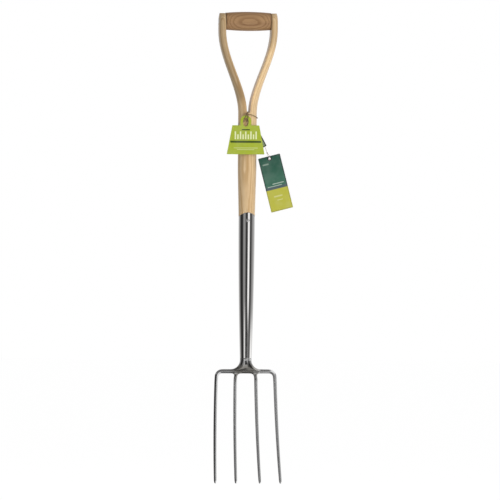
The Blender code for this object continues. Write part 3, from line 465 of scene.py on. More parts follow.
def makeCurtain():
    top = studio["curtainTop"]
    bottom = studio["floorHeight"] + studio["curtainLift"]
    bpy.ops.mesh.primitive_cylinder_add(
        vertices=96, radius=studio["curtainRadius"], depth=top - bottom, location=(0, 0, (top + bottom) / 2)
    )
    curtain = bpy.context.object
    curtain.name = "curtain"
    bpy.ops.object.transform_apply(location=True, rotation=False, scale=False)
    bpy.ops.object.mode_set(mode="EDIT")
    selectWhere(curtain, "FACE", lambda at: at.z > top - 0.01)
    bpy.ops.mesh.delete(type="FACE")
    bpy.ops.object.mode_set(mode="OBJECT")
    curtain.rotation_euler.z = -radians(camera["turn"])
    material, tree, output = emptyMaterial("strips")
    x, y, z = split(newNode("TexCoord", tree=tree).outputs["Object"])
    turn = calc("ARCTAN2", x, times(y, -1.0))
    share = calc("MULTIPLY_ADD", turn, 1 / (2 * pi), 0.5)
    upper = stripRamp(share, [(row[0], row[1]) for row in curtainStrips])
    lower = stripRamp(share, [(row[0], row[2]) for row in curtainStrips])
    shade = blend(between(z, *studio["crossing"]), lower, upper)
    facing = between(calc("ABSOLUTE", turn), radians(30), radians(40), 1.0, 0.0)
    glint = grey(studio["lowGlint"])
    shade = blend(times(calc("LESS_THAN", z, studio["glintTop"]), facing), shade, glint)
    shade = blend(between(z, *studio["skyFoot"]), shade, stripRamp(share, skyStrips))
    reach = newNode("VectorMath", {0: combine(x, y)}, operation="LENGTH").outputs["Value"]
    ground = stripRamp(share, groundStrips)
    ground = blend(between(reach, *studio["underReach"]), grey(studio["underHead"]), ground)
    ground = blend(times(between(reach, *studio["glintReach"]), facing), ground, glint)
    onGround = between(z, bottom + 0.001, bottom + 0.004, 1.0, 0.0)
    glow = newNode("Emission", {"Color": blend(onGround, shade, ground), "Strength": 1.0})
    feed(output, {"Surface": glow.outputs[0]})
    dress(curtain, material)
    for kind in ("camera", "diffuse", "shadow", "transmission"):
        setattr(curtain, "visible_" + kind, False)


def makeKeyLight():
    turn = radians(studio["keyTurn"] - camera["turn"])
    place = Vector((sin(turn), -cos(turn), 0)) * studio["keyDistance"] + Vector((0, 0, -0.2))
    bpy.ops.object.light_add(type="AREA", location=place)
    lamp = bpy.context.object
    lamp.name = "key"
    lamp.rotation_euler = (place - Vector((0, 0, -0.45))).to_track_quat("Z", "Y").to_euler()
    lamp.data.shape = "RECTANGLE"
    lamp.data.size, lamp.data.size_y = studio["keySize"]
    lamp.data.energy = studio["keyWatts"]
    lamp.visible_glossy = False


makeWorld()
makeFloor()
makeCurtain()
makeKeyLight()
bpy.context.scene.view_settings.view_transform = "Standard"
print("studio lit")


# Finishes. Each shared effect is a group that puts out colours, masks and heights


def newGroup(name, inputs, outputs):
    tree = bpy.data.node_groups.new(name, "ShaderNodeTree")
    for title, value in inputs.items():
        kind = "Float" if isinstance(value, float) else {3: "Vector", 4: "Color"}[len(value)]
        socket = tree.interface.new_socket(title, in_out="INPUT", socket_type="NodeSocket" + kind)
        socket.default_value = value
    for title in outputs:
        kind = "Color" if title == "Color" else "Float"
        tree.interface.new_socket(title, in_out="OUTPUT", socket_type="NodeSocket" + kind)
    return tree, tree.nodes.new("NodeGroupInput").outputs, tree.nodes.new("NodeGroupOutput")


def useGroup(group, inputs):
    return newNode("Group", inputs, node_tree=group).outputs


def stretch(vector, grain):  # a long grain runs along Z
    across, along = grainSizes[grain]
    return newNode("VectorMath", {0: vector, 1: (across, across, along)}, operation="MULTIPLY").outputs[0]


def noise(vector, detail=2.0, roughness=0.5, scale=1.0):
    inputs = {"Vector": vector, "Scale": scale, "Detail": detail, "Roughness": roughness}
    return newNode("TexNoise", inputs).outputs["Fac"]


grainSizes = {
    "heart": (0.022, 0.064),  # middle of the growth rings, from the stick's own
    "drift": (30, 5.5),  # each noise is this fine across the grain and along it
    "streaks": (420, 7),
    "tone": (90, 4),
    "pores": (1500, 34),
    "drawn": (2600, 40),  # fine lines in drawn steel
    "pebbles": (420, 260),
}


def makeGrainGroup():
    inputs = {"Vector": (0, 0, 0), "Pale": (0.7, 0.5, 0.3, 1), "Dark": (0.5, 0.3, 0.15, 1)}
    inputs.update({"Ring Spacing": 0.003, "Wander": 1.5, "Ring Depth": 0.6, "Pore Depth": 0.5})
    group, given, result = newGroup("longGrain", inputs, ("Color", "Height", "Rings"))
    vector = given["Vector"]
    x, y = split(vector)[:2]
    heartX, heartY = grainSizes["heart"]
    across = calc("POWER", calc("SUBTRACT", x, heartX), 2.0)
    deep = calc("POWER", calc("SUBTRACT", y, heartY), 2.0)
    reach = calc("SQRT", calc("ADD", across, deep))
    drift = calc("SUBTRACT", noise(stretch(vector, "drift")), 0.5)
    turns = calc("DIVIDE", reach, given["Ring Spacing"])
    part = calc("FRACT", calc("ADD", turns, times(drift, given["Wander"])))
    late = times(between(part, 0.35, 0.9), between(part, 0.92, 1.0, 1.0, 0.0))
    streaks = between(noise(stretch(vector, "streaks"), 3.0, 0.6), 0.35, 0.72)
    tone = between(noise(stretch(vector, "tone")), 0.3, 0.7)
    pores = between(noise(stretch(vector, "pores"), 1.0), 0.60, 0.70)
    pores = times(pores, between(part, 0.0, 0.55, 1.0, 0.25))
    depth = calc("MULTIPLY_ADD", streaks, 0.22, times(late, given["Ring Depth"]))
    depth = calc("MULTIPLY_ADD", tone, 0.30, depth, clamp=True)
    colour = blend(depth, given["Pale"], given["Dark"])
    colour = blend(times(pores, given["Pore Depth"]), colour, given["Dark"], "MULTIPLY")
    height = calc("MULTIPLY_ADD", pores, -0.7, times(late, 0.3))
    feed(result, {"Color": colour, "Height": height, "Rings": late})
    return group


def makeSmudgeGroup():
    inputs = {"Vector": (0, 0, 0), "Clean": 0.1, "Dull": 0.25}
    group, given, result = newGroup("handledSteel", inputs, ("Roughness", "Height"))
    cloud = between(noise(given["Vector"], 3.0, 0.55, 55.0), 0.35, 0.7)
    lines = noise(stretch(given["Vector"], "drawn"), 2.0, 0.6)
    dull = calc("MULTIPLY_ADD", between(lines, 0.4, 0.7), 0.3, times(cloud, 0.7))
    spread = calc("SUBTRACT", given["Dull"], given["Clean"])
    feed(result, {"Roughness": calc("MULTIPLY_ADD", dull, spread, given["Clean"]), "Height": lines})
    return group


longGrain = makeGrainGroup()
handledSteel = makeSmudgeGroup()


def principled(name, **values):
    material, tree, output = emptyMaterial(name)
    inputs = {title.replace("_", " "): value for title, value in values.items()}
    shader = newNode("BsdfPrincipled", inputs, tree)
    feed(output, {"Surface": shader.outputs[0]})
    return material, shader, newNode("TexCoord", tree=tree).outputs["Object"]


def bumped(shader, height, distance):
    bump = newNode("Bump", {"Height": height, "Distance": distance, "Strength": 1.0})
    feed(shader, {"Normal": bump.outputs[0]})


ash = {
    "pale": (0.80, 0.59, 0.335, 1),
    "dark": (0.55, 0.335, 0.140, 1),
    "throat": -0.1695,
    "bend": 0.17,
    "spread": 0.0437,  # how far each arm moves out over the bend
    "shaftTone": 1.10,  # painted light and shade: from the shaft's level, the left arm goes darker and the right arm paler
    "leftArmShade": 0.80,
    "rightArmLight": 1.20,
    "rightArmTopLight": 0.92,
}


def makeAsh():
    material, shader, place = principled("waxedAsh", Roughness=0.46, Coat_Weight=0.35, Coat_Roughness=0.26)
    x, y, z = split(place)
    rise = between(z, ash["throat"], ash["throat"] + ash["bend"])
    straight = calc("SUBTRACT", x, times(calc("SIGN", x), times(rise, ash["spread"])))
    grain = useGroup(longGrain, {"Vector": combine(straight, y, z), "Pale": ash["pale"], "Dark": ash["dark"]})
    # painted light and shade: the left arm darker and the right arm paler than the shaft, the right one less
    # pale near its top
    left = between(rise, 0.0, 0.12, ash["shaftTone"], ash["leftArmShade"])
    right = between(rise, 0.0, 0.10, ash["shaftTone"], ash["rightArmLight"])
    right = calc("MINIMUM", right, between(rise, 0.80, 1.0, ash["rightArmLight"], ash["rightArmTopLight"]))
    tone = newNode("Mix", {0: between(x, -0.001, 0.001), 2: left, 3: right}).outputs[0]
    toned = newNode("VectorMath", {0: grain["Color"], 3: tone}, operation="SCALE").outputs[0]
    rough = calc("MULTIPLY_ADD", grain["Rings"], -0.08, 0.50)  # late wood shines more
    feed(shader, {"Base Color": toned, "Roughness": rough})
    bumped(shader, grain["Height"], 0.00012)
    return material


grip = {
    "pale": (0.46, 0.27, 0.125, 1),
    "dark": (0.25, 0.125, 0.048, 1),
    "axis": 0.0197,
    "heart": (0.0222, 0.0540),  # brings the tree's middle close behind the grip
    "bow": 640.0,  # bends the rings near the grip's ends, so they show as long nested lenses
    "shadeAndGrime": (0.0435, 0.0468),  # painted shade where the arms shade both ends, with some grime
    "shadeAndGrimeColour": (0.06, 0.03, 0.012, 1),
}


def makeGripWood():
    material, shader, place = principled("handGripWood", Roughness=0.48, Coat_Weight=0.10, Coat_Roughness=0.3)
    x, y, z = split(place)
    off = calc("ABSOLUTE", x)
    up, behind = grip["heart"]
    across = calc("ADD", calc("SUBTRACT", z, grip["axis"]), up)
    deep = calc("ADD", y, calc("MULTIPLY_ADD", calc("POWER", off, 4.0), grip["bow"], behind))
    inputs = {"Vector": combine(across, deep, x), "Pale": grip["pale"], "Dark": grip["dark"]}
    grain = useGroup(longGrain, {**inputs, "Ring Spacing": 0.0014, "Wander": 2.2, "Ring Depth": 0.6})
    # painted shade: both ends of the grip are darkened where the arms shade them, along with some grime
    shadeAndGrime = between(off, *grip["shadeAndGrime"], 0.0, 0.55)
    feed(shader, {"Base Color": blend(shadeAndGrime, grain["Color"], grip["shadeAndGrimeColour"])})
    bumped(shader, grain["Height"], 0.00012)
    return material


steels = {  # colour, and roughness where it is clean and where it is dull
    "mirrorSteel": ((0.66, 0.65, 0.64, 1), 0.03, 0.09),
    "rivetSteel": ((0.60, 0.59, 0.58, 1), 0.10, 0.20),
    "headSteel": ((0.58, 0.58, 0.58, 1), 0.13, 0.26),
    "zincPlate": ((0.56, 0.56, 0.55, 1), 0.28, 0.45),
}
socketSkin = {"heights": (-0.50, -0.44), "relief": 6.0}
headFinish = {
    "polish": (-0.6995, -0.6965),  # satin below and polished above
    "polishedShare": 0.34,
    "weldFoot": (-0.6800, -0.6794),
    "weldTop": (-0.6762, -0.6756),
    "heatAndShadeSide": (0.018, 0.036),  # heat tint from the welds, and painted shade, darken the middle so its reflection reads dark
    "heatAndShadeFoot": (-0.730, -0.706),
    "heatAndShadeTop": (-0.694, -0.679),
    "heatAndShadeColour": (0.24, 0.23, 0.21, 1),
}


def startSteel(name):
    colour, clean, dull = steels[name]
    material, shader, place = principled(name, Metallic=1.0, Base_Color=colour)
    marks = useGroup(handledSteel, {"Vector": place, "Clean": clean, "Dull": dull})
    return material, shader, place, marks["Roughness"], marks["Height"]


def makeSteel(name, relief):
    material, shader, place, rough, lines = startSteel(name)
    feed(shader, {"Roughness": rough})
    bumped(shader, lines, relief)
    return material


def makeSocketSteel():
    # mirror polished, with a pebbled skin over its upper third
    material, shader, place, rough, lines = startSteel("mirrorSteel")
    upper = between(split(place)[2], *socketSkin["heights"])
    skin = times(times(noise(stretch(place, "pebbles"), 2.0, 0.6), upper), socketSkin["relief"])
    feed(shader, {"Roughness": rough})
    bumped(shader, calc("ADD", skin, lines), 0.000006)
    return material


def makeHeadSteel():
    # the shoulder is polished like the socket, and the bars have a satin sheen
    material, shader, place, rough, lines = startSteel("headSteel")
    x, _, z = split(place)
    weld = times(between(z, *headFinish["weldFoot"]), between(z, *headFinish["weldTop"], 1.0, 0.0))
    polished = between(z, *headFinish["polish"])
    rough = times(rough, between(polished, 0.0, 1.0, 1.0, headFinish["polishedShare"]))
    rough = calc("MULTIPLY_ADD", weld, 0.08, rough)
    ripples = times(noise(place, 2.0, 0.6, 700.0), times(weld, 5.0))
    bumped(shader, calc("ADD", ripples, lines), 0.00001)
    # heat tint round the welds, and painted shade that darkens the middle of the shoulder and crossbar so
    # their reflection reads dark
    heatAndShade = times(
        between(calc("ABSOLUTE", x), *headFinish["heatAndShadeSide"], 1.0, 0.0),
        between(z, *headFinish["heatAndShadeFoot"]),
        between(z, *headFinish["heatAndShadeTop"], 1.0, 0.15),
        between(noise(place, 2.0, 0.5, 90.0), 0.25, 0.55, 0.6, 1.0),
    )
    shade = blend(heatAndShade, steels["headSteel"][0], headFinish["heatAndShadeColour"])
    feed(shader, {"Base Color": shade, "Roughness": rough})
    return material


jute = {"pale": (0.38, 0.25, 0.115, 1), "dark": (0.10, 0.06, 0.024, 1)}
nylon = {"pale": (0.72, 0.58, 0.52, 1), "dark": (0.55, 0.42, 0.38, 1)}


def makeJute():
    material, shader, place = principled("juteTwine", Roughness=0.92, Sheen_Weight=0.25, Sheen_Roughness=0.5)
    fibres = between(noise(place, 4.0, 0.75, 1600.0), 0.30, 0.70)
    clumps = between(noise(place, 2.0, 0.5, 260.0), 0.30, 0.70)
    dirt = calc("MULTIPLY_ADD", clumps, 0.45, times(fibres, 0.55))
    feed(shader, {"Base Color": blend(dirt, jute["pale"], jute["dark"])})
    bumped(shader, fibres, 0.00012)
    return material


def makeClearNylon():
    material, shader, place = principled("clearNylon", Roughness=0.22, IOR=1.52, Transmission_Weight=0.35)
    cloudy = noise(place, 2.0, 0.5, 900.0)
    feed(shader, {"Base Color": blend(cloudy, nylon["pale"], nylon["dark"])})
    return material


mirrorSteel = makeSocketSteel()
rivetSteel = makeSteel("rivetSteel", 0.00001)
headSteel = makeHeadSteel()
zincPlate = makeSteel("zincPlate", 0.00002)
waxedAsh = makeAsh()
gripWood = makeGripWood()
juteTwine = makeJute()
clearNylon = makeClearNylon()
print("finishes mixed")


def dressWoodAndFasteners():
    dress(nodes["ash_shaft"], waxedAsh)
    dress(nodes["hand_grip"], gripWood)
    for name in ("grip_rod", "throat_rivet"):
        dress(nodes[name], zincPlate)
    for side in ("left", "right"):
        dress(nodes["grip_washer_" + side], zincPlate)
        dress(nodes["throat_washer_" + side], zincPlate)
    dress(nodes["socket_rivet_washer"], rivetSteel)
    for piece in (tagLoop, throatBinding, throatKnot):
        dress(piece, juteTwine)
    for piece in (clear, clearTie):
        dress(piece, clearNylon)


dressWoodAndFasteners()


# Cards: cut from printed board, with plain bars and panels for their print
def makePanelGroup():  # 1 inside a panel with rounded corners, in a card's own plane
    inputs = {"Vector": (0, 0, 0), "Middle X": 0.0, "Middle Z": 0.0, "Half Width": 0.0, "Half Height": 0.0}
    group, given, result = newGroup("printedPanel", {**inputs, "Corner": 0.0003}, ("Mask",))
    x, _, z = split(given["Vector"])
    squares = []
    for axis, middle, half in ((x, "Middle X", "Half Width"), (z, "Middle Z", "Half Height")):
        off = calc("ABSOLUTE", calc("SUBTRACT", axis, given[middle]))
        side = calc("SUBTRACT", off, calc("SUBTRACT", given[half], given["Corner"]))
        squares.append(calc("POWER", largest(side, 0.0), 2.0))
    past = calc("SUBTRACT", calc("SQRT", calc("ADD", *squares)), given["Corner"])
    feed(result, {"Mask": between(past, -0.0001, 0.0001, 1.0, 0.0)})
    return group


printedPanel = makePanelGroup()


def panel(place, x, z, width, height, corner=0.0003):
    inputs = {"Vector": place, "Middle X": x, "Middle Z": z, "Corner": corner}
    return useGroup(printedPanel, {**inputs, "Half Width": width / 2, "Half Height": height / 2})["Mask"]


def panels(place, rows):
    return largest(*[panel(place, *row) for row in rows])


def startCard(name, card):
    # place is measured from the card's hole, in its own plane
    inputs = {"Roughness": 0.50, "Specular_IOR_Level": 0.3, "Coat_Weight": 0.05, "Coat_Roughness": 0.25}
    material, shader, place = principled(name, **inputs)
    inputs = {"Vector": place, "Location": card["hole"], "Rotation": (0, -radians(card["tilt"]), 0)}
    return material, shader, newNode("Mapping", inputs, vector_type="TEXTURE").outputs[0]


def finishCard(piece, material, shader, local, colour, card):
    # fine mottling of the ink, and the board's pale core at its edges
    fleck = noise(local, 3.0, 0.6, 900.0)
    worn = between(noise(local, 2.0, 0.5, 45.0), 0.35, 0.75)
    colour = blend(times(fleck, 0.10), colour, grey(0.02))
    colour = blend(times(worn, 0.05), colour, (0.9, 0.9, 0.85, 1))
    core = calc("LESS_THAN", calc("ABSOLUTE", split(local)[1]), card["thick"] * 0.47)
    feed(shader, {"Base Color": blend(core, colour, card["core"])})
    bumped(shader, fleck, 0.00001)
    dress(piece, material)


def onFront(local):  # only the front is printed
    return calc("LESS_THAN", split(local)[1], 0.0)


def roundCorners(corners, radius=0.0016, steps=6):
    outline = []
    for i, corner in enumerate(corners):
        at = Vector(corner)
        toLast = (Vector(corners[i - 1]) - at).normalized()
        toNext = (Vector(corners[(i + 1) % len(corners)]) - at).normalized()
        reach = radius / tan(toLast.angle(toNext) / 2)
        start, end = at + toLast * reach, at + toNext * reach
        for k in range(steps + 1):
            t = k / steps
            outline.append(start * (1 - t) ** 2 + at * 2 * t * (1 - t) + end * t**2)
    return outline


def cutCard(name, card, outline, node):
    acrossHole, upHole = card["holeSize"]
    angles = [2 * pi * k / 48 for k in range(48)]
    hole = [Vector((acrossHole * cos(angle), upHole * sin(angle))) for angle in angles]
    piece = meshFromCurve(name, (outline, hole), dimensions="2D", fill_mode="BOTH", extrude=card["thick"] / 2)
    piece.rotation_euler = (radians(90), -radians(card["tilt"]), 0)
    piece.location = card["hole"]
    startEditing(piece)
    bpy.ops.mesh.select_all(action="SELECT")
    bpy.ops.mesh.remove_doubles(threshold=0.00001)
    closeForm()
    finishPiece(piece, name, 30)
    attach(piece, node)
    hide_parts(node)
    return piece


weightCard = {
    "hole": (-0.0064, -0.02445, -0.1885),
    "holeSize": (0.0058, 0.0090),
    "tilt": 0.0,
    "thick": 0.0006,
    "core": (0.62, 0.62, 0.50, 1),
    "ring": (0.0112, 0.0140),  # half width, and its top above the hole
    "top": -0.0065,
    "bottom": -0.0664,
    "topWidth": 0.056,
    "bottomWidth": 0.0785,
    "lime": (0.437, 0.530, 0.036, 1),
    "ink": (0.055, 0.095, 0.006, 1),
    "cream": (0.88, 0.94, 0.54, 1),
    "faintLines": ((0.0, -0.0532, 0.050, 0.0014, 0.0006), (0.0, -0.0566, 0.036, 0.0014, 0.0006)),
    "darkBars": ((0.0, -0.0156, 0.0170, 0.0026), (0.0, -0.0405, 0.0640, 0.0042)),
    "ticks": 9,
    "tickStep": 0.0054,
    "tickWidth": 0.0029,
    "tickFoot": -0.0352,
    "tickHeights": (0.0162, 0.01),
}


def makeWeightCard():
    card = weightCard
    half, top = card["ring"]
    angles = [pi * k / 32 for k in range(33)]
    outline = [Vector((half * cos(angle), top - half + half * sin(angle))) for angle in angles]
    wide, low = card["topWidth"] / 2, card["bottomWidth"] / 2
    corners = ((-wide, card["top"]), (-low, card["bottom"]), (low, card["bottom"]), (wide, card["top"]))
    outline += [Vector((-half, card["top"])), *roundCorners(corners), Vector((half, card["top"]))]
    piece = cutCard("weight_card", card, outline, "weight_tag")

    material, shader, local = startCard("limeCard", card)
    ticks = []
    for number in range(card["ticks"]):
        x = (number - (card["ticks"] - 1) / 2) * card["tickStep"]
        height = card["tickHeights"][number % 2]
        ticks.append((x, card["tickFoot"] + height / 2, card["tickWidth"], height, 0.0008))
    pale = largest(panels(local, ticks), times(panels(local, card["faintLines"]), 0.5))
    front = onFront(local)
    colour = blend(times(pale, front), card["lime"], card["cream"])
    colour = blend(times(panels(local, card["darkBars"]), front), colour, card["ink"])
    finishCard(piece, material, shader, local, colour, card)


swingCard = {
    "hole": (0.0436, -0.02255, -0.2633),
    "holeSize": (0.0026, 0.0026),
    "tilt": 14.5,
    "thick": 0.0005,
    "core": (0.50, 0.52, 0.46, 1),
    "width": 0.0466,
    "length": 0.1143,
    "aboveHole": 0.0052,
    "join": -0.064,  # where the green ends and the lemon starts
    "green": (0.016, 0.097, 0.060, 1),
    "greenLow": (0.050, 0.160, 0.105, 1),
    "edge": (0.020, 0.050, 0.040, 1),
    "slate": (0.085, 0.125, 0.135, 1),
    "pale": (0.50, 0.62, 0.52, 1),
    "lemon": (0.560, 0.545, 0.062, 1),
    "lemonEdge": (0.33, 0.32, 0.06, 1),
    "lemonPale": (0.72, 0.72, 0.30, 1),
    "rim": (0.004, 0.0044, 0.001),  # the border's width and height on both sides, and its corner
    "slateBar": (0.0, -0.0612, 0.0466, 0.0056),
    "paleBars": ((0.005, -0.053, 0.024, 0.002), (-0.003, -0.0575, 0.03, 0.0016)),
    "faintBar": (-0.0110, -0.0105, 0.0130, 0.0032, 0.0014),
    "lemonBars": ((-0.0010, -0.0790, 0.0180, 0.0030, 0.0012), (0.0010, -0.0870, 0.0120, 0.0018, 0.0008)),
    "eyelet": (0.0, 0.0, 0.0092, 0.0092, 0.0046),
    "eyeletShade": (0.012, 0.014, 0.012, 1),
}


def cardOutline(card):
    half, top = card["width"] / 2, card["aboveHole"]
    foot = top - card["length"]
    return roundCorners(((-half, top), (-half, foot), (half, foot), (half, top)))


def insideRim(local, card):
    width, height, corner = card["rim"]
    middle = card["aboveHole"] - card["length"] / 2
    return panel(local, 0.0, middle, card["width"] - width, card["length"] - height, corner)


def makeSwingCard():
    card = swingCard
    piece = cutCard("swing_card", card, cardOutline(card), "swing_tag")

    material, shader, local = startCard("greenCard", card)
    z = split(local)[2]
    border = calc("SUBTRACT", 1.0, insideRim(local, card))
    green = blend(between(z, -0.050, -0.010, 1.0, 0.0), card["green"], card["greenLow"])
    green = blend(panel(local, *card["slateBar"]), green, card["slate"])
    marks = largest(panels(local, card["paleBars"]), times(panel(local, *card["faintBar"]), 0.55))
    green = blend(times(marks, 0.8), green, card["pale"])
    green = blend(border, green, card["edge"])
    lemon = blend(times(border, 0.6), card["lemon"], card["lemonEdge"])
    lemon = blend(times(panels(local, card["lemonBars"]), 0.8), lemon, card["lemonPale"])
    lemonPart = between(z, card["join"] - 0.0002, card["join"] + 0.0002, 1.0, 0.0)
    colour = blend(lemonPart, green, lemon)
    colour = blend(panel(local, *card["eyelet"]), colour, card["eyeletShade"])
    colour = blend(onFront(local), card["green"], colour)
    finishCard(piece, material, shader, local, colour, card)


careCard = {
    "hole": (0.0050, -0.0209, -0.2058),
    "holeSize": (0.0026, 0.0026),
    "tilt": 28.5,
    "thick": 0.0004,
    "core": (0.60, 0.60, 0.56, 1),
    "width": 0.028,
    "length": 0.048,
    "aboveHole": 0.0052,
    "grey": (0.27, 0.33, 0.20, 1),
    "edge": (0.018, 0.022, 0.014, 1),
    "line": (0.07, 0.09, 0.05, 1),
    "rim": (0.0044, 0.0044, 0.0006),
}


def makeCareCard():
    card = careCard
    piece = cutCard("care_leaflet", card, cardOutline(card), "care_card")

    material, shader, local = startCard("greyCard", card)
    lines = panels(local, [(0.0, -0.0100 - 0.0058 * number, 0.0170, 0.0008) for number in range(5)])
    colour = blend(lines, card["grey"], card["line"])
    colour = blend(insideRim(local, card), card["edge"], colour)
    finishCard(piece, material, shader, local, colour, card)


makeWeightCard()
makeSwingCard()
makeCareCard()
print("cards cut and printed")


# Socket: a fine tapered tube under the arch of its top edge
socket = {
    "top": -0.3747,
    "length": 0.301,
    "topRadius": 0.0169,
    "endRadius": 0.0121,
    "taper": 1.9,
    "crown": 0.0083,
    "wall": 0.0016,
    "sides": 128,
    "rings": 26,
    "rim": 0.0004,
}


def makeSocket():
    top, length, wide = socket["top"], socket["length"], socket["topRadius"]
    bpy.ops.mesh.primitive_circle_add(vertices=socket["sides"], radius=wide)
    tube = bpy.context.object
    arch = (wide**2 + socket["crown"] ** 2) / (2 * socket["crown"])

    def onTube(at, share):
        side = at.xy.normalized()
        droop = arch - sqrt(arch * arch - (side.x * wide) ** 2)
        z = mix(top - droop, top - length, share)
        along = min(max((top - z) / length, 0.0), 1.0)
        radius = mix(wide, socket["endRadius"], along ** socket["taper"])
        return side.x * radius, side.y * radius, z

    startEditing(tube)
    selectWhere(tube, "VERT", lambda at: True)
    shares = [number / socket["rings"] for number in range(socket["rings"] + 1)]
    shares[1:1] = [0.002, 0.006]  # rings close to both ends keep the rims crisp
    shares[-1:-1] = [0.994, 0.998]
    for share in shares:
        drawRing(tube, lambda at: onTube(at, share), share > 0)
    closeForm()
    modify(tube, "SOLIDIFY", thickness=socket["wall"], offset=-1)
    modify(tube, "BEVEL", width=socket["rim"], segments=2, limit_method="ANGLE", angle_limit=radians(50))
    finishPiece(tube, "steel_socket")
    dress(tube, mirrorSteel)
    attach(tube, "fork")
    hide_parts("socket")


rivet = {
    "height": -0.3909,
    "radius": 0.0039,
    "dome": 0.0018,
    "backRadius": 0.0035,
    "backDome": 0.0013,
    "face": 0.0172,  # front of the tube there
    "washer": 0.001,
    "shank": 0.0025,
}


def makeRivet():
    # a domed head in front and a peened end over a washer at the back, on one shank
    bpy.ops.mesh.primitive_circle_add(vertices=48, radius=0.0001)
    piece = bpy.context.object
    face, radius, shank = rivet["face"], rivet["radius"], rivet["shank"]
    back = face + rivet["washer"] + 0.0003
    profile = []
    for turn in map(radians, (88, 78, 66, 52, 38, 24, 12, 4)):
        profile.append((-face - rivet["dome"] * sin(turn), radius * cos(turn)))
    profile += [(-face, radius), (-face, shank), (back, shank), (back, rivet["backRadius"])]
    for turn in map(radians, (10, 25, 45, 65, 82)):
        profile.append((back + rivet["backDome"] * sin(turn), rivet["backRadius"] * cos(turn)))

    def onProfile(at, number):
        side = (at.xz if number else at.xy).normalized()  # the first ring still lies flat
        y, reach = profile[number]
        return side.x * reach, y, side.y * reach

    startEditing(piece)
    selectWhere(piece, "VERT", lambda at: True)
    bpy.ops.mesh.edge_face_add()
    for number in range(len(profile)):
        drawRing(piece, lambda at: onProfile(at, number), number > 0)
    closeForm()
    piece.location.z = rivet["height"]
    finishPiece(piece, "domed_rivet", 50)
    dress(piece, rivetSteel)
    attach(piece, "fork")
    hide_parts("socket_rivet")


makeSocket()
makeRivet()
print("socket drawn and riveted")


# Head: one cage for the crossbar, its tines and the shoulder, rounded by subdivision
head = {
    "neckTop": -0.6757,
    "weldHeight": 0.004,
    "neckRadius": 0.0121,
    "barHeight": -0.7026,
    "barAcross": 0.01,
    "barDepth": 0.0118,
    "bendRadius": 0.0112,
    "outerOffset": 0.0607,
    "outerTip": 0.0678,
    "innerOffset": 0.0212,
    "innerTip": 0.0249,
    "tineAcross": 0.0087,
    "tipAcross": 0.0067,
    "tipDepth": 0.0076,
    "tineLength": 0.2302,
    "dish": 0.05,
    "corner": 22,  # percent of each side that a corner's bevel takes
    "cageSwell": 1.035,  # subdivision draws the cage in
    "shoulderHalf": 0.03,
    "rootInside": 0.0085,  # where the inner tine's root starts on the bar, from the middle
    "rootOutside": 0.0286,
    "rootDrop": 0.0124,
    # how far up the weld each ring lies, and its share of the neck's radius
    "weldRings": (
        (0.12, 1.0), (0.25, 1.010), (0.5, 1.016), (0.8, 1.012), (0.93, 0.99), (0.98, 0.9), (2.0, 0.86),
    ),
}


def dishAt(z):  # how far forward the tines have come
    length = head["tineLength"]
    radius = (length * length + head["dish"] ** 2) / (2 * head["dish"])
    drop = head["barHeight"] - z
    return sqrt(radius * radius - drop * drop) - radius


def tineStation(z, top, tip, narrow=1.0):
    def centreAt(height):
        share = (head["barHeight"] - height) / head["tineLength"]
        return Vector((mix(top, tip, share), dishAt(height), height))

    centre = centreAt(z)
    along = (centre - centreAt(z + 0.0005)).normalized()
    side = Vector((0, -1, 0)).cross(along).normalized()
    front = along.cross(side).normalized()
    share = (head["barHeight"] - z) / head["tineLength"]
    swell = head["cageSwell"] * narrow / 2
    halfSide = mix(head["tineAcross"], head["tipAcross"], share) * swell
    halfFront = mix(head["barDepth"], head["tipDepth"], share) * swell
    return centre, side, front, halfSide, halfFront


def tineStations(startZ, top, tip):
    tipZ = head["barHeight"] - head["tineLength"]
    pointZ = tipZ + 0.0098
    stations = [tineStation(mix(startZ, pointZ, i / 10), top, tip) for i in range(11)]
    for drop, narrow in ((0.45, 0.94), (0.78, 0.76), (0.95, 0.48), (1.0, 0.16)):
        stations.append(tineStation(mix(pointZ, tipZ, drop), top, tip, narrow))
    return stations


def diamondRing():  # a square with bevelled corners is the section of every bar
    deselectAll()
    bpy.ops.mesh.primitive_circle_add(vertices=4, radius=1.0)
    ring = bpy.context.object
    startEditing(ring)
    selectWhere(ring, "VERT", lambda at: True)
    bpy.ops.mesh.bevel(offset_type="PERCENT", offset_pct=head["corner"], segments=2, affect="VERTICES")
    template = [tuple(v.co.xy) for v in bmesh.from_edit_mesh(ring.data).verts]
    return ring, template


def barStations():  # from the middle of the crossbar round the bend
    up, front = Vector((0, 0, 1)), Vector((0, -1, 0))
    swell = head["cageSwell"] / 2
    stations = []
    inside, outside = head["rootInside"], head["rootOutside"]
    middle = (inside + outside) / 2 + 0.0012
    for x in (0.0, 0.0052, inside, middle, outside, head["shoulderHalf"] + 0.001, 0.0400):
        centre = Vector((x, 0, head["barHeight"]))
        stations.append((centre, up, front, head["barAcross"] * swell, head["barDepth"] * swell))
    bendX = head["outerOffset"] - head["bendRadius"]
    bendZ = head["barHeight"] - head["bendRadius"]
    for step in range(6):
        angle = pi / 2 * step / 5
        outward = Vector((sin(angle), 0, cos(angle)))
        centre = Vector((bendX, 0, bendZ)) + outward * head["bendRadius"]
        centre.y = dishAt(centre.z)
        across = mix(head["barAcross"], head["tineAcross"], step / 5)
        stations.append((centre, outward, front, across * swell, head["barDepth"] * swell))
    return stations


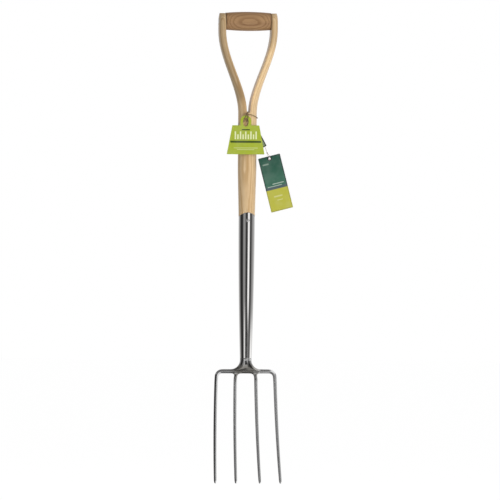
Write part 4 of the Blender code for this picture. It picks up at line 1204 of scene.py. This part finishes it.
def makeHalfHead():
    inside, outside = head["rootInside"], head["rootOutside"]
    barZ = head["barHeight"]
    rootZ = barZ - head["barAcross"] / 2 - head["rootDrop"]
    overHalf = 0.0006  # clears the small faces along the ridges

    half, template = diamondRing()
    stations = barStations()
    bendEnd = stations[-1][0].z
    stations += tineStations(bendEnd - 0.012, head["outerOffset"], head["outerTip"])
    sweepSection(half, template, stations)
    bpy.ops.mesh.edge_face_add()  # closes the tip
    selectWhere(half, "FACE", lambda at: inside < at.x < outside and at.z < barZ - overHalf)
    bpy.ops.mesh.delete(type="FACE")
    selectWhere(half, "FACE", lambda at: at.x < head["shoulderHalf"] + overHalf and at.z > barZ + overHalf)
    bpy.ops.mesh.delete(type="FACE")

    tine, template = diamondRing()
    sweepSection(tine, template, tineStations(rootZ, head["innerOffset"], head["innerTip"]))
    bpy.ops.mesh.edge_face_add()

    half = joinPieces([half, tine])
    startEditing(half)
    selectWhere(half, "VERT", lambda at: at.x < -0.0001)
    bpy.ops.mesh.delete(type="VERT")

    def nearRoot(at):  # both open ends that the root joins
        slack = 0.001
        return inside - slack < at.x < outside + slack and rootZ - slack < at.z < barZ

    selectWhere(half, "EDGE", nearRoot)
    bpy.ops.mesh.bridge_edge_loops(number_cuts=3, interpolation="SURFACE", smoothness=0.9)
    raiseShoulder(half)
    bpy.ops.object.mode_set(mode="OBJECT")
    return half


def raiseShoulder(half):  # draws the opening over the crossbar up into the round neck and its weld
    neckZ, radius, steps = head["neckTop"] - head["weldHeight"], head["neckRadius"], 8
    selectWhere(half, "EDGE", lambda at: at.z > head["barHeight"])
    border = [v.co.copy() for v in bmesh.from_edit_mesh(half.data).verts if v.select]
    end = max(at.x for at in border)

    def along(at):  # from the front's middle round the end to the back's middle
        return at.y if at.x > end - 0.0001 else at.y + (end - at.x) * (-1 if at.y < 0 else 1)

    border.sort(key=along)
    angles = [pi * (i / (len(border) - 1) - 0.5) for i in range(len(border))]
    rings = [border]
    for step in range(1, steps + 1):
        share = 1 - step / steps
        turn = pi / 2 * share
        rings.append([])
        for at, angle in zip(border, angles):
            x = mix(radius * cos(angle), at.x, 1 - cos(turn))
            y = mix(radius * sin(angle), at.y, share**3.5)
            rings[-1].append(Vector((x, y, mix(neckZ, at.z, sin(turn)))))
    for rise, size in head["weldRings"]:
        z, reach = neckZ + head["weldHeight"] * rise, radius * size
        rings.append([Vector((reach * cos(angle), reach * sin(angle), z)) for angle in angles])
    for last, ring in zip(rings, rings[1:]):
        for at in (ring[0], ring[-1]):
            at.x = 0.0  # on the middle plane
        followRing(half, last, ring)
    bpy.ops.mesh.edge_face_add()


def makeHead():
    piece = makeHalfHead()
    modify(piece, "MIRROR", use_clip=True, merge_threshold=0.0002)
    modify(piece, "SUBSURF", levels=2, render_levels=2)
    finishPiece(piece, "forged_head", 60)
    dress(piece, headSteel)
    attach(piece, "fork")
    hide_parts("shoulder", "neck_weld", "outer_tine_bow", "inner_tine_left", "inner_tine_right")
    print("head made:", len(piece.data.polygons), "faces")


makeHead()

bpy.context.view_layer.update()
